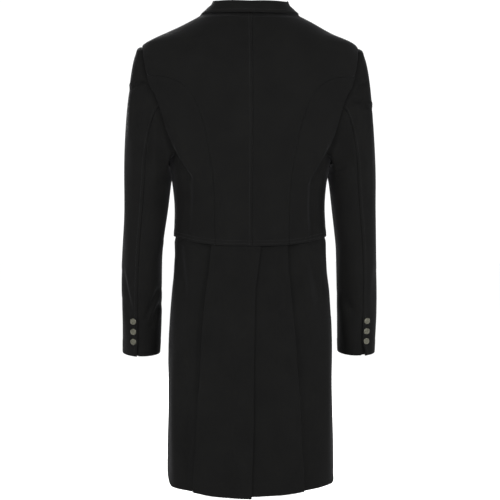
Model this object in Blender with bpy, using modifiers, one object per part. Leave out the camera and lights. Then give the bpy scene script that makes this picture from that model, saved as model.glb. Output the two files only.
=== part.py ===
import math

import bmesh
import bpy
import numpy as np
from mathutils import Quaternion, Vector
from mathutils.bvhtree import BVHTree

# Dressage show jacket with a short front and two tails, worn shape, hollow.
# Metres. The wearer's front faces -Y, the wearer's left is +X, +Z is up.
# The origin lies between the shoulders at the base of the neck.

NAME = "dressage_show_jacket"
WALL = 0.0020
GAP = 0.0003
LAP_GAP = 0.0012
LAPEL_GAP = 0.0020
FRONT_GAP = 0.0032
SLEEVE_WALL = 0.0018

# Horizontal sections of the body, from the neck down to the hem.
# Above the shoulder tip the widest point is the ridge of the shoulder.
TORSO_COLUMNS = ("z", "half_width", "back_y", "front_y", "ridge_y", "square")
TORSO = (
    (0.030, 0.0640, 0.052, -0.030, 0.006, 2.10),
    (0.012, 0.0880, 0.062, -0.046, 0.005, 2.10),
    (0.000, 0.1050, 0.069, -0.057, 0.004, 2.12),
    (-0.020, 0.1405, 0.080, -0.072, 0.002, 2.20),
    (-0.040, 0.1785, 0.089, -0.086, 0.000, 2.30),
    (-0.066, 0.2300, 0.097, -0.098, -0.003, 2.40),
    (-0.100, 0.2420, 0.105, -0.107, -0.005, 2.45),
    (-0.150, 0.2330, 0.113, -0.116, -0.006, 2.50),
    (-0.200, 0.2140, 0.118, -0.123, -0.006, 2.50),
    (-0.250, 0.1950, 0.118, -0.127, -0.005, 2.50),
    (-0.300, 0.1765, 0.114, -0.128, -0.004, 2.45),
    (-0.3525, 0.1665, 0.107, -0.124, -0.003, 2.35),
    (-0.417, 0.1612, 0.097, -0.118, -0.002, 2.30),
    (-0.473, 0.1627, 0.092, -0.114, 0.000, 2.30),
    (-0.503, 0.1623, 0.094, -0.112, 0.002, 2.30),
    (-0.546, 0.1635, 0.102, -0.111, 0.004, 2.30),
    (-0.589, 0.1680, 0.110, -0.111, 0.006, 2.30),
    (-0.6535, 0.1724, 0.119, -0.111, 0.008, 2.30),
    (-0.718, 0.1747, 0.124, -0.111, 0.008, 2.30),
    (-0.8255, 0.1751, 0.128, -0.111, 0.008, 2.35),
    (-0.9115, 0.1761, 0.130, -0.111, 0.008, 2.40),
    (-1.040, 0.1768, 0.132, -0.111, 0.008, 2.40),
)

# Seams as rows of distance from the middle and height, on the back or the front.
LINE_COLUMNS = ("x", "z")
PRINCESS_LOW = (
    (0.0774, -0.4900),
    (0.0783, -0.4090),
    (0.0835, -0.3390),
    (0.0910, -0.2980),
    (0.0985, -0.2565),
    (0.1110, -0.2140),
    (0.1225, -0.1860),
    (0.1335, -0.1700),
)
PRINCESS_HIGH = (
    (0.1335, -0.1700),
    (0.1530, -0.1530),
    (0.1840, -0.1410),
    (0.2200, -0.1360),
)
ARMHOLE_TOP = (
    (0.2200, -0.1360),
    (0.2262, -0.1060),
    (0.2295, -0.0800),
    (0.2300, -0.0660),
)
ARMHOLE_BACK = (
    (0.2200, -0.1360),
    (0.2130, -0.1580),
    (0.2012, -0.1755),
    (0.1884, -0.2095),
    (0.1733, -0.2600),
    (0.1600, -0.2960),
    (0.1640, -0.3160),
)
ARMHOLE_FRONT = (
    (0.1670, -0.3140),
    (0.1610, -0.2700),
    (0.1660, -0.2200),
    (0.1830, -0.1600),
    (0.2080, -0.1100),
    (0.2250, -0.0800),
    (0.2300, -0.0660),
)
FRONT_EDGE = (
    (-0.0510, -0.5060),
    (-0.0570, -0.4600),
    (-0.0600, -0.4000),
    (-0.0600, -0.3300),
)
ROLL_LINE = (
    (-0.0600, -0.3300),
    (-0.0230, -0.2500),
    (0.0140, -0.1650),
    (0.0465, -0.0800),
    (0.0700, -0.0250),
    (0.0810, -0.0010),
    (0.0880, 0.0120),
)
LAPEL_EDGE = (
    (-0.0520, -0.3300),
    (0.0120, -0.2800),
    (0.0740, -0.2000),
    (0.1200, -0.1250),
    (0.1500, -0.0560),
)
RIGHT_LAPEL_FOOT = -0.248
LAPEL_TOP = ((0.0660, -0.0395), (0.1080, -0.0520), (0.1500, -0.0560))

# Lines given by the place round the body: 0 centre back, 1 side, 2 centre front.
WAIST_COLUMNS = ("around", "z")
WAIST = (
    (0.00, -0.4955),
    (0.25, -0.4935),
    (0.50, -0.4865),
    (0.75, -0.4790),
    (1.00, -0.4740),
    (1.40, -0.4800),
    (1.80, -0.4980),
    (2.40, -0.5100),
)
SIDE_SEAM_AROUND = 1.06
UNDERARM_Z = -0.3165
NECK_BACK = ((0.0, 0.0020), (0.5, 0.0040), (0.8, 0.0080), (1.0, 0.0120))
SHOULDER_TIP_Z = -0.066
NECK_POINT_Z = 0.012

# Tail lines as rows of distance from the middle and height.
VENT_EDGE = (
    (-0.0186, -0.4960),
    (-0.0110, -0.5490),
    (-0.0060, -0.5880),
    (-0.0040, -0.6600),
    (-0.0015, -0.7460),
    (-0.0010, -0.8630),
    (0.0010, -0.9370),
    (0.0035, -1.0150),
)
PLEAT_EDGE = (
    (0.0800, -0.4960),
    (0.0835, -0.5500),
    (0.0895, -0.6000),
    (0.0925, -0.6370),
    (0.0962, -0.6750),
    (0.1013, -0.7620),
    (0.1058, -0.8200),
    (0.1090, -0.9100),
    (0.1130, -0.9500),
    (0.1150, -1.0150),
)
# Front edge of the side tail, as the place round the body at each height.
TAIL_FRONT = (
    (1.45, -0.4810),
    (1.30, -0.5600),
    (1.18, -0.6800),
    (1.10, -0.8200),
    (1.05, -0.9000),
    (1.02, -0.9500),
    (0.98, -0.9740),
    (0.90, -0.9880),
    (0.78, -0.9960),
)
HEM_COLUMNS = ("around", "z")
HEM = ((0.00, -1.0120), (0.25, -1.0080), (0.48, -1.0010), (0.78, -0.9960))
PLEAT_UNDER = 0.030
VENT_UNDER = 0.040
LEFT_TAIL_DROP = 0.004

# Soft folds of the body: where each runs, how wide and how deep it is.
DRAPE_COLUMNS = ("top_around", "top_z", "low_around", "low_z", "spread", "depth")
DRAPES = (
    (0.68, -0.190, 0.50, -0.380, 0.075, 0.0032),
    (0.58, -0.300, 0.57, -0.500, 0.090, -0.0045),
    (0.80, -0.330, 0.78, -0.520, 0.090, 0.0015),
    (0.33, -0.480, 0.62, -0.760, 0.070, 0.0020),
    (0.70, -0.640, 0.72, -1.060, 0.110, 0.0030),
)

# Sleeve rings below the armhole.
SLEEVE_COLUMNS = ("z", "centre_x", "centre_y", "half_width", "half_depth", "tilt")
SLEEVE = (
    (-0.3525, 0.2192, 0.003, 0.0502, 0.066, 0.00),
    (-0.4170, 0.2230, 0.004, 0.0466, 0.063, 0.01),
    (-0.4600, 0.2265, 0.002, 0.0448, 0.061, 0.02),
    (-0.5030, 0.2296, -0.001, 0.0434, 0.059, 0.04),
    (-0.5675, 0.2317, -0.009, 0.0429, 0.056, 0.08),
    (-0.6320, 0.2327, -0.019, 0.0424, 0.052, 0.11),
    (-0.6965, 0.2332, -0.030, 0.0409, 0.048, 0.13),
    (-0.7240, 0.2336, -0.035, 0.0400, 0.047, 0.14),
)
SLEEVE_SQUARE = 2.15
CAP_ROWS = 8
SEAM_ANGLE_CUFF = 82.0
FORE_ANGLE_CUFF = -60.0

# Collar stations from the centre back to the gorge.
# The seam is on the neckline, the edge of the fall lies on the body.
COLLAR_COLUMNS = ("seam_part", "edge_around", "edge_z", "lean", "rise")
COLLAR = (
    (0.00, 0.00, -0.0050, 0.0050, 0.0205),
    (0.20, 0.24, -0.0050, 0.0055, 0.0208),
    (0.45, 0.52, -0.0030, 0.0080, 0.0215),
    (0.62, 0.78, 0.0010, 0.0155, 0.0205),
    (0.72, 1.00, 0.0025, 0.0170, 0.0155),
    (0.80, 1.20, -0.0060, 0.0150, 0.0135),
    (0.88, 1.38, -0.0210, 0.0110, 0.0120),
    (1.00, 1.60, -0.0455, 0.0040, 0.0070),
)
COLLAR_STEPS = 14
GORGE_Z = -0.036

CUFF_BUTTON_RADIUS = 0.0068
CUFF_BUTTON_THICK = 0.0028
CUFF_BUTTON_Z = (-0.6492, -0.6710, -0.6925)
CUFF_BUTTON_ANGLE = 69.0
FRONT_BUTTON_RADIUS = 0.0105
FRONT_BUTTON_THICK = 0.0034
FRONT_BUTTON_PLACES = ((0.045, -0.365), (0.045, -0.415), (0.044, -0.465))

CLOTH = ("jacket_cloth", (0.012, 0.012, 0.013, 1.0), 0.78, 0.0)
METAL = ("button_metal", (0.21, 0.205, 0.175, 1.0), 0.38, 1.0)


def smooth(xs, ys, at):
    """Values between rows without overshoot."""
    xs, ys = np.asarray(xs, float), np.asarray(ys, float)
    if xs[0] > xs[-1]:
        xs, ys = xs[::-1], ys[::-1]
    at = np.clip(at, xs[0], xs[-1])
    step = np.diff(xs)
    slope = np.diff(ys) / step
    tangent = np.zeros(len(xs))
    tangent[0], tangent[-1] = slope[0], slope[-1]
    for i in range(1, len(xs) - 1):
        if slope[i - 1] * slope[i] > 0:
            near, far = 2 * step[i] + step[i - 1], step[i] + 2 * step[i - 1]
            tangent[i] = (near + far) / (near / slope[i - 1] + far / slope[i])
    i = np.clip(np.searchsorted(xs, at, side="right") - 1, 0, len(step) - 1)
    t = (at - xs[i]) / step[i]
    return (
        (2 * t**3 - 3 * t**2 + 1) * ys[i]
        + (t**3 - 2 * t**2 + t) * step[i] * tangent[i]
        + (3 * t**2 - 2 * t**3) * ys[i + 1]
        + (t**3 - t**2) * step[i] * tangent[i + 1]
    )


def column(rows, names, name, z):
    """One named column of a table of sections at height z."""
    k = names.index(name)
    return smooth([row[0] for row in rows], [row[k] for row in rows], z)


def body_column(name, z):
    return column(TORSO, TORSO_COLUMNS, name, z)


def waist_z(around):
    return smooth([row[0] for row in WAIST], [row[1] for row in WAIST], around)


def drape(around, z):
    """How far the soft folds move the cloth out of the plain surface."""
    total = 0.0 * (around + z)
    for top_a, top_z, low_a, low_z, spread, depth in DRAPES:
        t = np.clip((top_z - z) / (top_z - low_z), 0, 1)
        centre = top_a + (low_a - top_a) * t
        total = total + depth * np.sin(np.pi * t) * np.exp(-(((around - centre) / spread) ** 2))
    return total


def plain_body(around, z):
    """A point of the plain body surface on the wearer's left half."""
    turn = np.asarray(around, float) * math.pi / 2
    power = 2 / body_column("square", z)
    across, along = np.sin(turn), np.cos(turn)
    x = body_column("half_width", z) * np.sign(across) * np.abs(across) ** power
    ridge = body_column("ridge_y", z)
    far = np.where(along >= 0, body_column("back_y", z) - ridge, ridge - body_column("front_y", z))
    y = ridge + far * np.sign(along) * np.abs(along) ** power
    return np.stack([x, y, z + 0 * x], -1)


def body_normal(around, z):
    """The outward direction of the plain body surface."""
    da, dz = 0.004, 0.002
    along = plain_body(around + da, z) - plain_body(around - da, z)
    up = plain_body(around, z + dz) - plain_body(around, z - dz)
    n = np.cross(up, along)
    return n / np.linalg.norm(n, axis=-1, keepdims=True)


def body(around, z, out=0.0):
    """A point of the draped surface, moved out by a distance, and its normal."""
    n = body_normal(around, z)
    lift = drape(around, z) + out
    return plain_body(around, z) + n * np.asarray(lift)[..., None], n


def around_of(x, z, front=False):
    """The place round the body of a point that is x from the middle at height z."""
    share = np.clip(np.abs(x) / body_column("half_width", z), 0, 1)
    turn = np.arcsin(share ** (body_column("square", z) / 2)) * 2 / math.pi
    turn = np.where(np.asarray(x) < 0, -turn, turn)
    return 2 - turn if front else turn


def spaced(pairs, count):
    """Evenly spaced pairs of place and height along a line of the body surface."""
    pairs = np.asarray(pairs, float)
    steps = np.linalg.norm(np.diff(plain_body(pairs[:, 0], pairs[:, 1]), axis=0), axis=1)
    run = np.concatenate([[0], np.cumsum(steps)])
    fine = np.linspace(0, run[-1], 400)
    line = np.stack([smooth(run, pairs[:, 0], fine), smooth(run, pairs[:, 1], fine)], 1)
    steps = np.linalg.norm(np.diff(plain_body(line[:, 0], line[:, 1]), axis=0), axis=1)
    length = np.concatenate([[0], np.cumsum(steps)])
    at = np.linspace(0, length[-1], count + 1)
    return np.stack([np.interp(at, length, line[:, 0]), np.interp(at, length, line[:, 1])], 1)


def line_of(rows, count, front=False, end=None, start=None):
    """A seam from rows of distance and height, as evenly spaced pairs."""
    pairs = np.array([(float(around_of(x, z, front)), z) for x, z in rows])
    if start is not None:
        pairs[0] = start
    if end is not None:
        pairs[-1] = end
    return spaced(pairs, count)


def joined(*lines):
    """Lines that follow each other as one line."""
    return np.concatenate([lines[0]] + [line[1:] for line in lines[1:]])


def fill(low, high, left, right):
    """A grid of pairs between four edges that share their corners."""
    u = np.linspace(0, 1, len(low))[None, :, None]
    v = np.linspace(0, 1, len(left))[:, None, None]
    ruled = low[None] * (1 - v) + high[None] * v + left[:, None] * (1 - u) + right[:, None] * u
    corners = (
        low[0] * (1 - u) * (1 - v) + low[-1] * u * (1 - v)
        + high[0] * (1 - u) * v + high[-1] * u * v
    )
    return ruled - corners


def fill_across(low, high, left, right):
    """The same between edges on the back, evenly spaced across instead of round."""
    flat = []
    for edge in (low, high, left, right):
        x = plain_body(edge[:, 0], edge[:, 1])[:, 0]
        flat.append(np.stack([x, edge[:, 1]], 1))
    grid = fill(*flat)
    around = around_of(grid[..., 0], grid[..., 1])
    return np.stack([around, grid[..., 1]], -1)


def trimmed(points, by):
    """A grid of points whose four edges are drawn in by a small distance."""
    points = points.copy()
    for axis in (0, 1):
        p = np.moveaxis(points, axis, 0)
        for edge, inner in ((0, 1), (-1, -2)):
            way = p[inner] - p[edge]
            p[edge] += way / np.linalg.norm(way, axis=-1, keepdims=True) * by
    return points


def material(spec):
    name, colour, roughness, metallic = spec
    found = bpy.data.materials.get(name)
    if found:
        return found
    made = bpy.data.materials.new(name)
    made.use_nodes = True
    shader = made.node_tree.nodes["Principled BSDF"]
    shader.inputs["Base Color"].default_value = colour
    shader.inputs["Roughness"].default_value = roughness
    shader.inputs["Metallic"].default_value = metallic
    made.diffuse_color = colour
    return made


def add_object(name, vertices, faces, spec, mirrored=False):
    """A closed mesh as an object; the wearer's right side is the mirrored left."""
    vertices = np.asarray(vertices, float)
    if mirrored:
        vertices = vertices * np.array([-1.0, 1.0, 1.0])
    mesh = bpy.data.meshes.new(name)
    mesh.from_pydata([tuple(v) for v in vertices], [], [tuple(f) for f in faces])
    made = bmesh.new()
    made.from_mesh(mesh)
    bmesh.ops.recalc_face_normals(made, faces=made.faces)
    made.to_mesh(mesh)
    made.free()
    mesh.materials.append(material(spec))
    thing = bpy.data.objects.new(name, mesh)
    collection.objects.link(thing)
    return thing


def sheet(name, outer, inner, spec=CLOTH, mirrored=False):
    """A cloth wall between an outer and an inner grid of points."""
    rows, cols = outer.shape[:2]
    count = rows * cols
    vertices = np.concatenate([outer.reshape(-1, 3), inner.reshape(-1, 3)])
    faces = []
    for i in range(rows - 1):
        for j in range(cols - 1):
            a, b = i * cols + j, i * cols + j + 1
            c, d = b + cols, a + cols
            faces.append((a, b, c, d))
            faces.append((count + d, count + c, count + b, count + a))
    rim = [j for j in range(cols)]
    rim += [i * cols + cols - 1 for i in range(1, rows)]
    rim += [(rows - 1) * cols + j for j in range(cols - 2, -1, -1)]
    rim += [i * cols for i in range(rows - 2, 0, -1)]
    for a, b in zip(rim, rim[1:] + rim[:1]):
        faces.append((b, a, count + a, count + b))
    return add_object(name, vertices, faces, spec, mirrored)


def panel(name, grid, mirrored=False, out=None, wall=WALL, trim=GAP / 2):
    """A cloth panel on the body surface from a grid of places and heights."""
    around, z = grid[..., 0], grid[..., 1]
    lift = np.zeros(around.shape) if out is None else out
    points, n = body(around, z, lift)
    points = trimmed(points, trim)
    return sheet(name, points, points - n * wall, CLOTH, mirrored)


def disc(name, carrier, centre, way, radius, thick):
    """A flat round button with a soft rim, seated on the face of the piece that carries it."""
    mesh = carrier.data
    tree = BVHTree.FromPolygons([v.co for v in mesh.vertices], [p.vertices for p in mesh.polygons])
    way = Vector(way).normalized()
    hit, facing, _, _ = tree.ray_cast(Vector(centre) + way * 0.02, -way)
    side = facing.orthogonal().normalized()
    highest = 0.0
    for k in range(12):
        spoke = Quaternion(facing, k * math.pi / 6) @ side
        below, _, _, _ = tree.ray_cast(hit + spoke * radius + facing * 0.02, -facing)
        if below:
            highest = max(highest, (below - hit).dot(facing))
    centre, way = hit + facing * (highest + GAP), facing
    bpy.ops.mesh.primitive_cylinder_add(vertices=18, radius=radius, depth=thick)
    thing = bpy.context.active_object
    thing.name = name
    thing.data.name = name
    thing.rotation_mode = "QUATERNION"
    thing.rotation_quaternion = way.to_track_quat("Z", "Y")
    thing.location = Vector(centre) + way * (thick / 2)
    bevel = thing.modifiers.new("soft_rim", "BEVEL")
    bevel.width = thick * 0.28
    bevel.segments = 1
    bevel.limit_method = "ANGLE"
    thing.data.materials.append(material(METAL))
    for old in list(thing.users_collection):
        old.objects.unlink(thing)
    collection.objects.link(thing)
    return thing


# Seams of the wearer's left half, sampled once and shared by both neighbours.
def seams():
    corner = np.array([float(around_of(*PRINCESS_HIGH[-1])), PRINCESS_HIGH[-1][1]])
    turn = np.array([float(around_of(*PRINCESS_HIGH[0])), PRINCESS_HIGH[0][1]])
    tip = np.array([1.0, SHOULDER_TIP_Z])
    underarm = np.array([SIDE_SEAM_AROUND, UNDERARM_Z])
    neck_point = np.array([1.0, NECK_POINT_Z])
    princess_foot = np.array([float(around_of(*PRINCESS_LOW[0])), 0.0])
    princess_foot[1] = float(waist_z(princess_foot[0]))
    found = {}
    found["princess_low"] = line_of(PRINCESS_LOW, 11, start=princess_foot, end=turn)
    found["princess_high"] = line_of(PRINCESS_HIGH, 6, start=turn, end=corner)
    found["arm_top"] = line_of(ARMHOLE_TOP, 3, start=corner, end=tip)
    found["arm_back"] = line_of(ARMHOLE_BACK, 7, start=corner, end=underarm)
    found["arm_front"] = line_of(ARMHOLE_FRONT, 9, front=True, start=underarm, end=tip)
    found["neck_back"] = spaced(NECK_BACK, 3)
    found["shoulder"] = spaced([tip, (1.0, -0.03), neck_point], 7)
    side_foot = (SIDE_SEAM_AROUND, float(waist_z(SIDE_SEAM_AROUND)))
    found["side"] = spaced([side_foot, (SIDE_SEAM_AROUND, -0.4), underarm], 4)
    found["centre"] = spaced([(0.0, float(waist_z(0.0))), (0.0, -0.2), (0.0, 0.002)], 20)
    edge_foot = np.array([float(around_of(*FRONT_EDGE[0], True)), 0.0])
    edge_foot[1] = float(waist_z(edge_foot[0]))
    found["front_edge"] = line_of(FRONT_EDGE, 4, front=True, start=edge_foot)
    found["roll"] = line_of(ROLL_LINE, 9, front=True, start=found["front_edge"][-1], end=neck_point)
    return found


def waist_line(start, end, count, drop=0.0):
    places = np.linspace(start, end, count + 1)
    return spaced(np.stack([places, waist_z(places) - drop], 1), count)


def body_panels(line):
    """Back, side back and front of both halves."""
    back = fill_across(
        waist_line(0.0, line["princess_low"][0, 0], 10),
        joined(line["neck_back"], line["shoulder"][::-1]),
        line["centre"],
        joined(line["princess_low"], line["princess_high"], line["arm_top"]),
    )
    side_back = fill(
        waist_line(line["princess_low"][0, 0], SIDE_SEAM_AROUND, 6),
        line["princess_high"],
        line["princess_low"],
        joined(line["side"], line["arm_back"][::-1]),
    )
    front = fill(
        waist_line(SIDE_SEAM_AROUND, line["front_edge"][0, 0], 7),
        line["shoulder"],
        joined(line["side"], line["arm_front"]),
        joined(line["front_edge"], line["roll"]),
    )
    for mark, mirrored in (("l", False), ("r", True)):
        panel("back_" + mark, back, mirrored)
        panel("side_back_" + mark, side_back, mirrored)
        panel("front_" + mark, front, mirrored, out=front_lift(front, mark))


def front_lift(grid, mark):
    """The wearer's left front passes over the right where they overlap."""
    x = plain_body(grid[..., 0], grid[..., 1])[..., 0]
    share = np.clip((0.082 - x) / 0.030, 0, 1)
    low = np.clip((-0.120 - grid[..., 1]) / 0.080, 0, 1)
    rise = share * share * (3 - 2 * share) * low * (WALL + FRONT_GAP) / 2
    return rise if mark == "l" else -rise


def rows_between(rows, low, high, count):
    """Rows of a line at even heights between two of them."""
    heights = np.linspace(low, high, count)
    return [(float(smooth([r[1] for r in rows], [r[0] for r in rows], z)), z) for z in heights]


def lapels():
    """Turned-back lapels that lie on the fronts; the left front covers the right one's foot."""
    top = line_of(LAPEL_TOP, 4, front=True)
    for mark, mirrored in (("l", False), ("r", True)):
        foot = ROLL_LINE[0][1] + 0.004 if mark == "l" else RIGHT_LAPEL_FOOT
        inner = rows_between(ROLL_LINE, foot, LAPEL_TOP[0][1], 30)
        if mark == "r":
            inner = [(max(x, 0.006 - x), z) for x, z in inner]
        outer = rows_between(LAPEL_EDGE, foot, LAPEL_TOP[-1][1], 30)
        inner = line_of(inner, 10, front=True, end=top[0])
        outer = line_of(outer, 10, front=True, end=top[-1])
        low = spaced([inner[0], (inner[0] + outer[0]) / 2, outer[0]], 4)
        grid = fill(low, top, inner, outer)
        lift = front_lift(grid, mark) + WALL + LAPEL_GAP
        panel("lapel_" + mark, grid, mirrored, out=lift)


def tail_line(rows, count, hem_drop):
    """A line of the tail from the hem up to the waist."""
    pairs = [(float(around_of(x, z)), z) for x, z in rows]
    foot = pairs[-1][0]
    pairs[-1] = (foot, float(hem_z(foot)) - hem_drop)
    pairs[0] = (pairs[0][0], float(waist_z(pairs[0][0])) - GAP)
    return spaced(pairs[::-1], count)


def hem_z(around):
    return smooth([row[0] for row in HEM], [row[1] for row in HEM], abs(around))


def hem_line(start, end, count, drop):
    places = np.linspace(start, end, count + 1)
    return spaced([(a, float(hem_z(a)) - drop) for a in places], count)


def tails():
    """Two centre tails that overlap at the vent, and two side tails under the pleats."""
    rows = 15
    for mark, mirrored in (("l", False), ("r", True)):
        drop = LEFT_TAIL_DROP if mark == "l" else 0.0
        if mark == "l":
            vent = [(x, z) for x, z in VENT_EDGE]
        else:
            vent = [(-x - VENT_UNDER * (1 if i else 0.9), z) for i, (x, z) in enumerate(VENT_EDGE)]
        left = tail_line(vent, rows, drop)
        right = tail_line(PLEAT_EDGE, rows, drop)
        grid = fill(
            hem_line(left[0, 0], right[0, 0], 8, drop),
            waist_line(left[-1, 0], right[-1, 0], 8, GAP),
            left,
            right,
        )
        panel("tail_centre_" + mark, grid, mirrored, out=vent_lift(grid, mark))

        under = [(x - PLEAT_UNDER, z) for x, z in PLEAT_EDGE]
        inner = tail_line(under, rows, drop)
        front_pairs = [(a, z) for a, z in TAIL_FRONT]
        front_pairs[0] = (front_pairs[0][0], float(waist_z(front_pairs[0][0])) - GAP)
        front_pairs[-1] = (front_pairs[-1][0], float(hem_z(front_pairs[-1][0])) - drop)
        outer = spaced(front_pairs[::-1], rows)
        grid = fill(
            hem_line(inner[0, 0], outer[0, 0], 9, drop),
            waist_line(inner[-1, 0], outer[-1, 0], 9, GAP),
            inner,
            outer,
        )
        panel("tail_side_" + mark, grid, mirrored, out=pleat_lift(grid))


def vent_lift(grid, mark):
    """The wearer's left tail lies on the right one beside the vent."""
    x = plain_body(grid[..., 0], grid[..., 1])[..., 0]
    share = np.clip((0.058 - x) / 0.024, 0, 1)
    rise = share * share * (3 - 2 * share) * (WALL + LAP_GAP) / 2
    return rise if mark == "l" else -rise


def pleat_lift(grid):
    """The side tail dips behind the centre tail."""
    points = plain_body(grid[..., 0], grid[..., 1])
    edge = smooth([row[1] for row in PLEAT_EDGE], [row[0] for row in PLEAT_EDGE], points[..., 2])
    share = np.clip((edge + 0.024 - points[..., 0]) / 0.022, 0, 1)
    return -share * share * (3 - 2 * share) * (WALL + LAP_GAP * 1.3)


def sleeve_columns(line):
    """Armhole points from the shoulder tip by the back and the underarm to the tip."""
    loop = joined(line["arm_top"][::-1], line["arm_back"], line["arm_front"])[:-1]
    points, n = body(loop[:, 0], loop[:, 1])
    low = len(line["arm_top"]) + len(line["arm_back"]) - 2
    steps = np.linalg.norm(np.roll(points, -1, 0) - points, axis=1)
    run = np.concatenate([[0], np.cumsum(steps)])
    share = np.where(np.arange(len(loop)) <= low, run[:-1] / run[low], 0.0)
    rest = np.arange(len(loop)) > low
    share[rest] = (run[:-1][rest] - run[low]) / (run[-1] - run[low]) - 1
    return points, n, share, low


def ring(z, angles):
    """One sleeve ring at height z; angle 0 is outward, 90 is back."""
    get = lambda name: column(SLEEVE, SLEEVE_COLUMNS, name, z)
    turn = np.radians(angles)
    power = 2 / SLEEVE_SQUARE
    co, si = np.cos(turn), np.sin(turn)
    x = get("centre_x") + get("half_width") * np.sign(co) * np.abs(co) ** power
    dy = get("half_depth") * np.sign(si) * np.abs(si) ** power
    return np.stack([x, get("centre_y") + dy, z - get("tilt") * dy], -1)


def sleeve_grid(line):
    """Sleeve points: a cap from the armhole to the first ring, then rings."""
    start, n, share, low = sleeve_columns(line)
    seam, fore = hind_column(line), fore_column(line)
    arm = share * 180.0
    knots = np.array([0.0, arm[seam], 180.0])
    cuff = np.where(
        arm >= 0,
        np.interp(arm, knots, [0.0, SEAM_ANGLE_CUFF, 180.0]),
        -np.interp(-arm, [0.0, -arm[fore], 180.0], [0.0, -FORE_ANGLE_CUFF, 180.0]),
    )
    cuff[low] = 180.0
    top = SLEEVE[0][0]
    first = ring(top, arm * 0.65 + cuff * 0.35)
    high = (1 + np.cos(np.radians(arm))) / 2
    outward = np.array([1.0, 0.0, -0.05])
    way = outward + 0.35 * n * (1 - high)[:, None]
    way = way / np.linalg.norm(way, axis=1, keepdims=True)
    tangent = np.roll(start, -1, 0) - np.roll(start, 1, 0)
    hole = np.cross(tangent, n)
    hole = hole / np.linalg.norm(hole, axis=1, keepdims=True)
    hole = hole * np.sign(((start.mean(axis=0) - start) * hole).sum(axis=1).mean())
    begin = start + way * GAP + hole * GAP
    go = way * (0.018 + 0.072 * high)[:, None]
    drop = np.array([0.0, 0.0, -1.0]) * (0.04 + 0.21 * high)[:, None]
    rows = []
    for t in np.linspace(0, 1, CAP_ROWS + 1):
        rows.append(
            (2 * t**3 - 3 * t**2 + 1) * begin
            + (t**3 - 2 * t**2 + t) * go
            + (3 * t**2 - 2 * t**3) * first
            + (t**3 - t**2) * drop
        )
    heights = np.linspace(top, SLEEVE[-1][0], 10)[1:]
    for i, z in enumerate(heights):
        blend = min(1.0, 0.35 + 0.65 * (i + 1) / 5)
        rows.append(ring(z, arm * (1 - blend) + cuff * blend))
    return np.array(rows), n


def hind_column(line):
    return len(line["arm_top"]) - 1 + 2


def fore_column(line):
    return len(line["arm_top"]) + len(line["arm_back"]) - 2 + 5


def grid_normals(points):
    """Outward directions of a closed tube of points."""
    down = np.gradient(points, axis=0)
    across = np.roll(points, -1, 1) - np.roll(points, 1, 1)
    n = np.cross(across, down)
    n = n / np.linalg.norm(n, axis=-1, keepdims=True)
    centre = points.mean(axis=1, keepdims=True)
    flip = np.sign(((points - centre) * n).sum(axis=-1).mean())
    return n * flip


def sleeves(line):
    """Upper and under sleeve of both arms, and the cuff buttons."""
    points, edge_way = sleeve_grid(line)
    n = grid_normals(points)
    n[0] = edge_way
    n[1] = n[1] + edge_way * 0.6
    n[1] = n[1] / np.linalg.norm(n[1], axis=-1, keepdims=True)
    count = points.shape[1]
    hind, fore = hind_column(line), fore_column(line)
    upper = [(fore + k) % count for k in range((hind - fore) % count + 1)]
    under = list(range(hind, fore + 1))
    carrier = None
    for mark, mirrored in (("l", False), ("r", True)):
        for name, pick in (("upper_sleeve_", upper), ("under_sleeve_", under)):
            part, way = points[:, pick], n[:, pick]
            part = trimmed(part, GAP / 2)
            made = sheet(name + mark, part, part - way * SLEEVE_WALL, CLOTH, mirrored)
            carrier = made if name == "upper_sleeve_" else carrier
        for i, z in enumerate(CUFF_BUTTON_Z):
            place = ring(z, np.array([CUFF_BUTTON_ANGLE - 4, CUFF_BUTTON_ANGLE, CUFF_BUTTON_ANGLE + 4]))
            above = ring(z + 0.01, np.array([CUFF_BUTTON_ANGLE]))[0]
            way = np.cross(place[2] - place[0], above - place[1])
            way = way / np.linalg.norm(way)
            middle = place[1]
            if way[0] < 0:
                way = -way
            if mirrored:
                middle, way = middle * [-1, 1, 1], way * [-1, 1, 1]
            name = f"cuff_button_{mark}{i + 1}"
            disc(name, carrier, middle, way, CUFF_BUTTON_RADIUS, CUFF_BUTTON_THICK)


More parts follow.
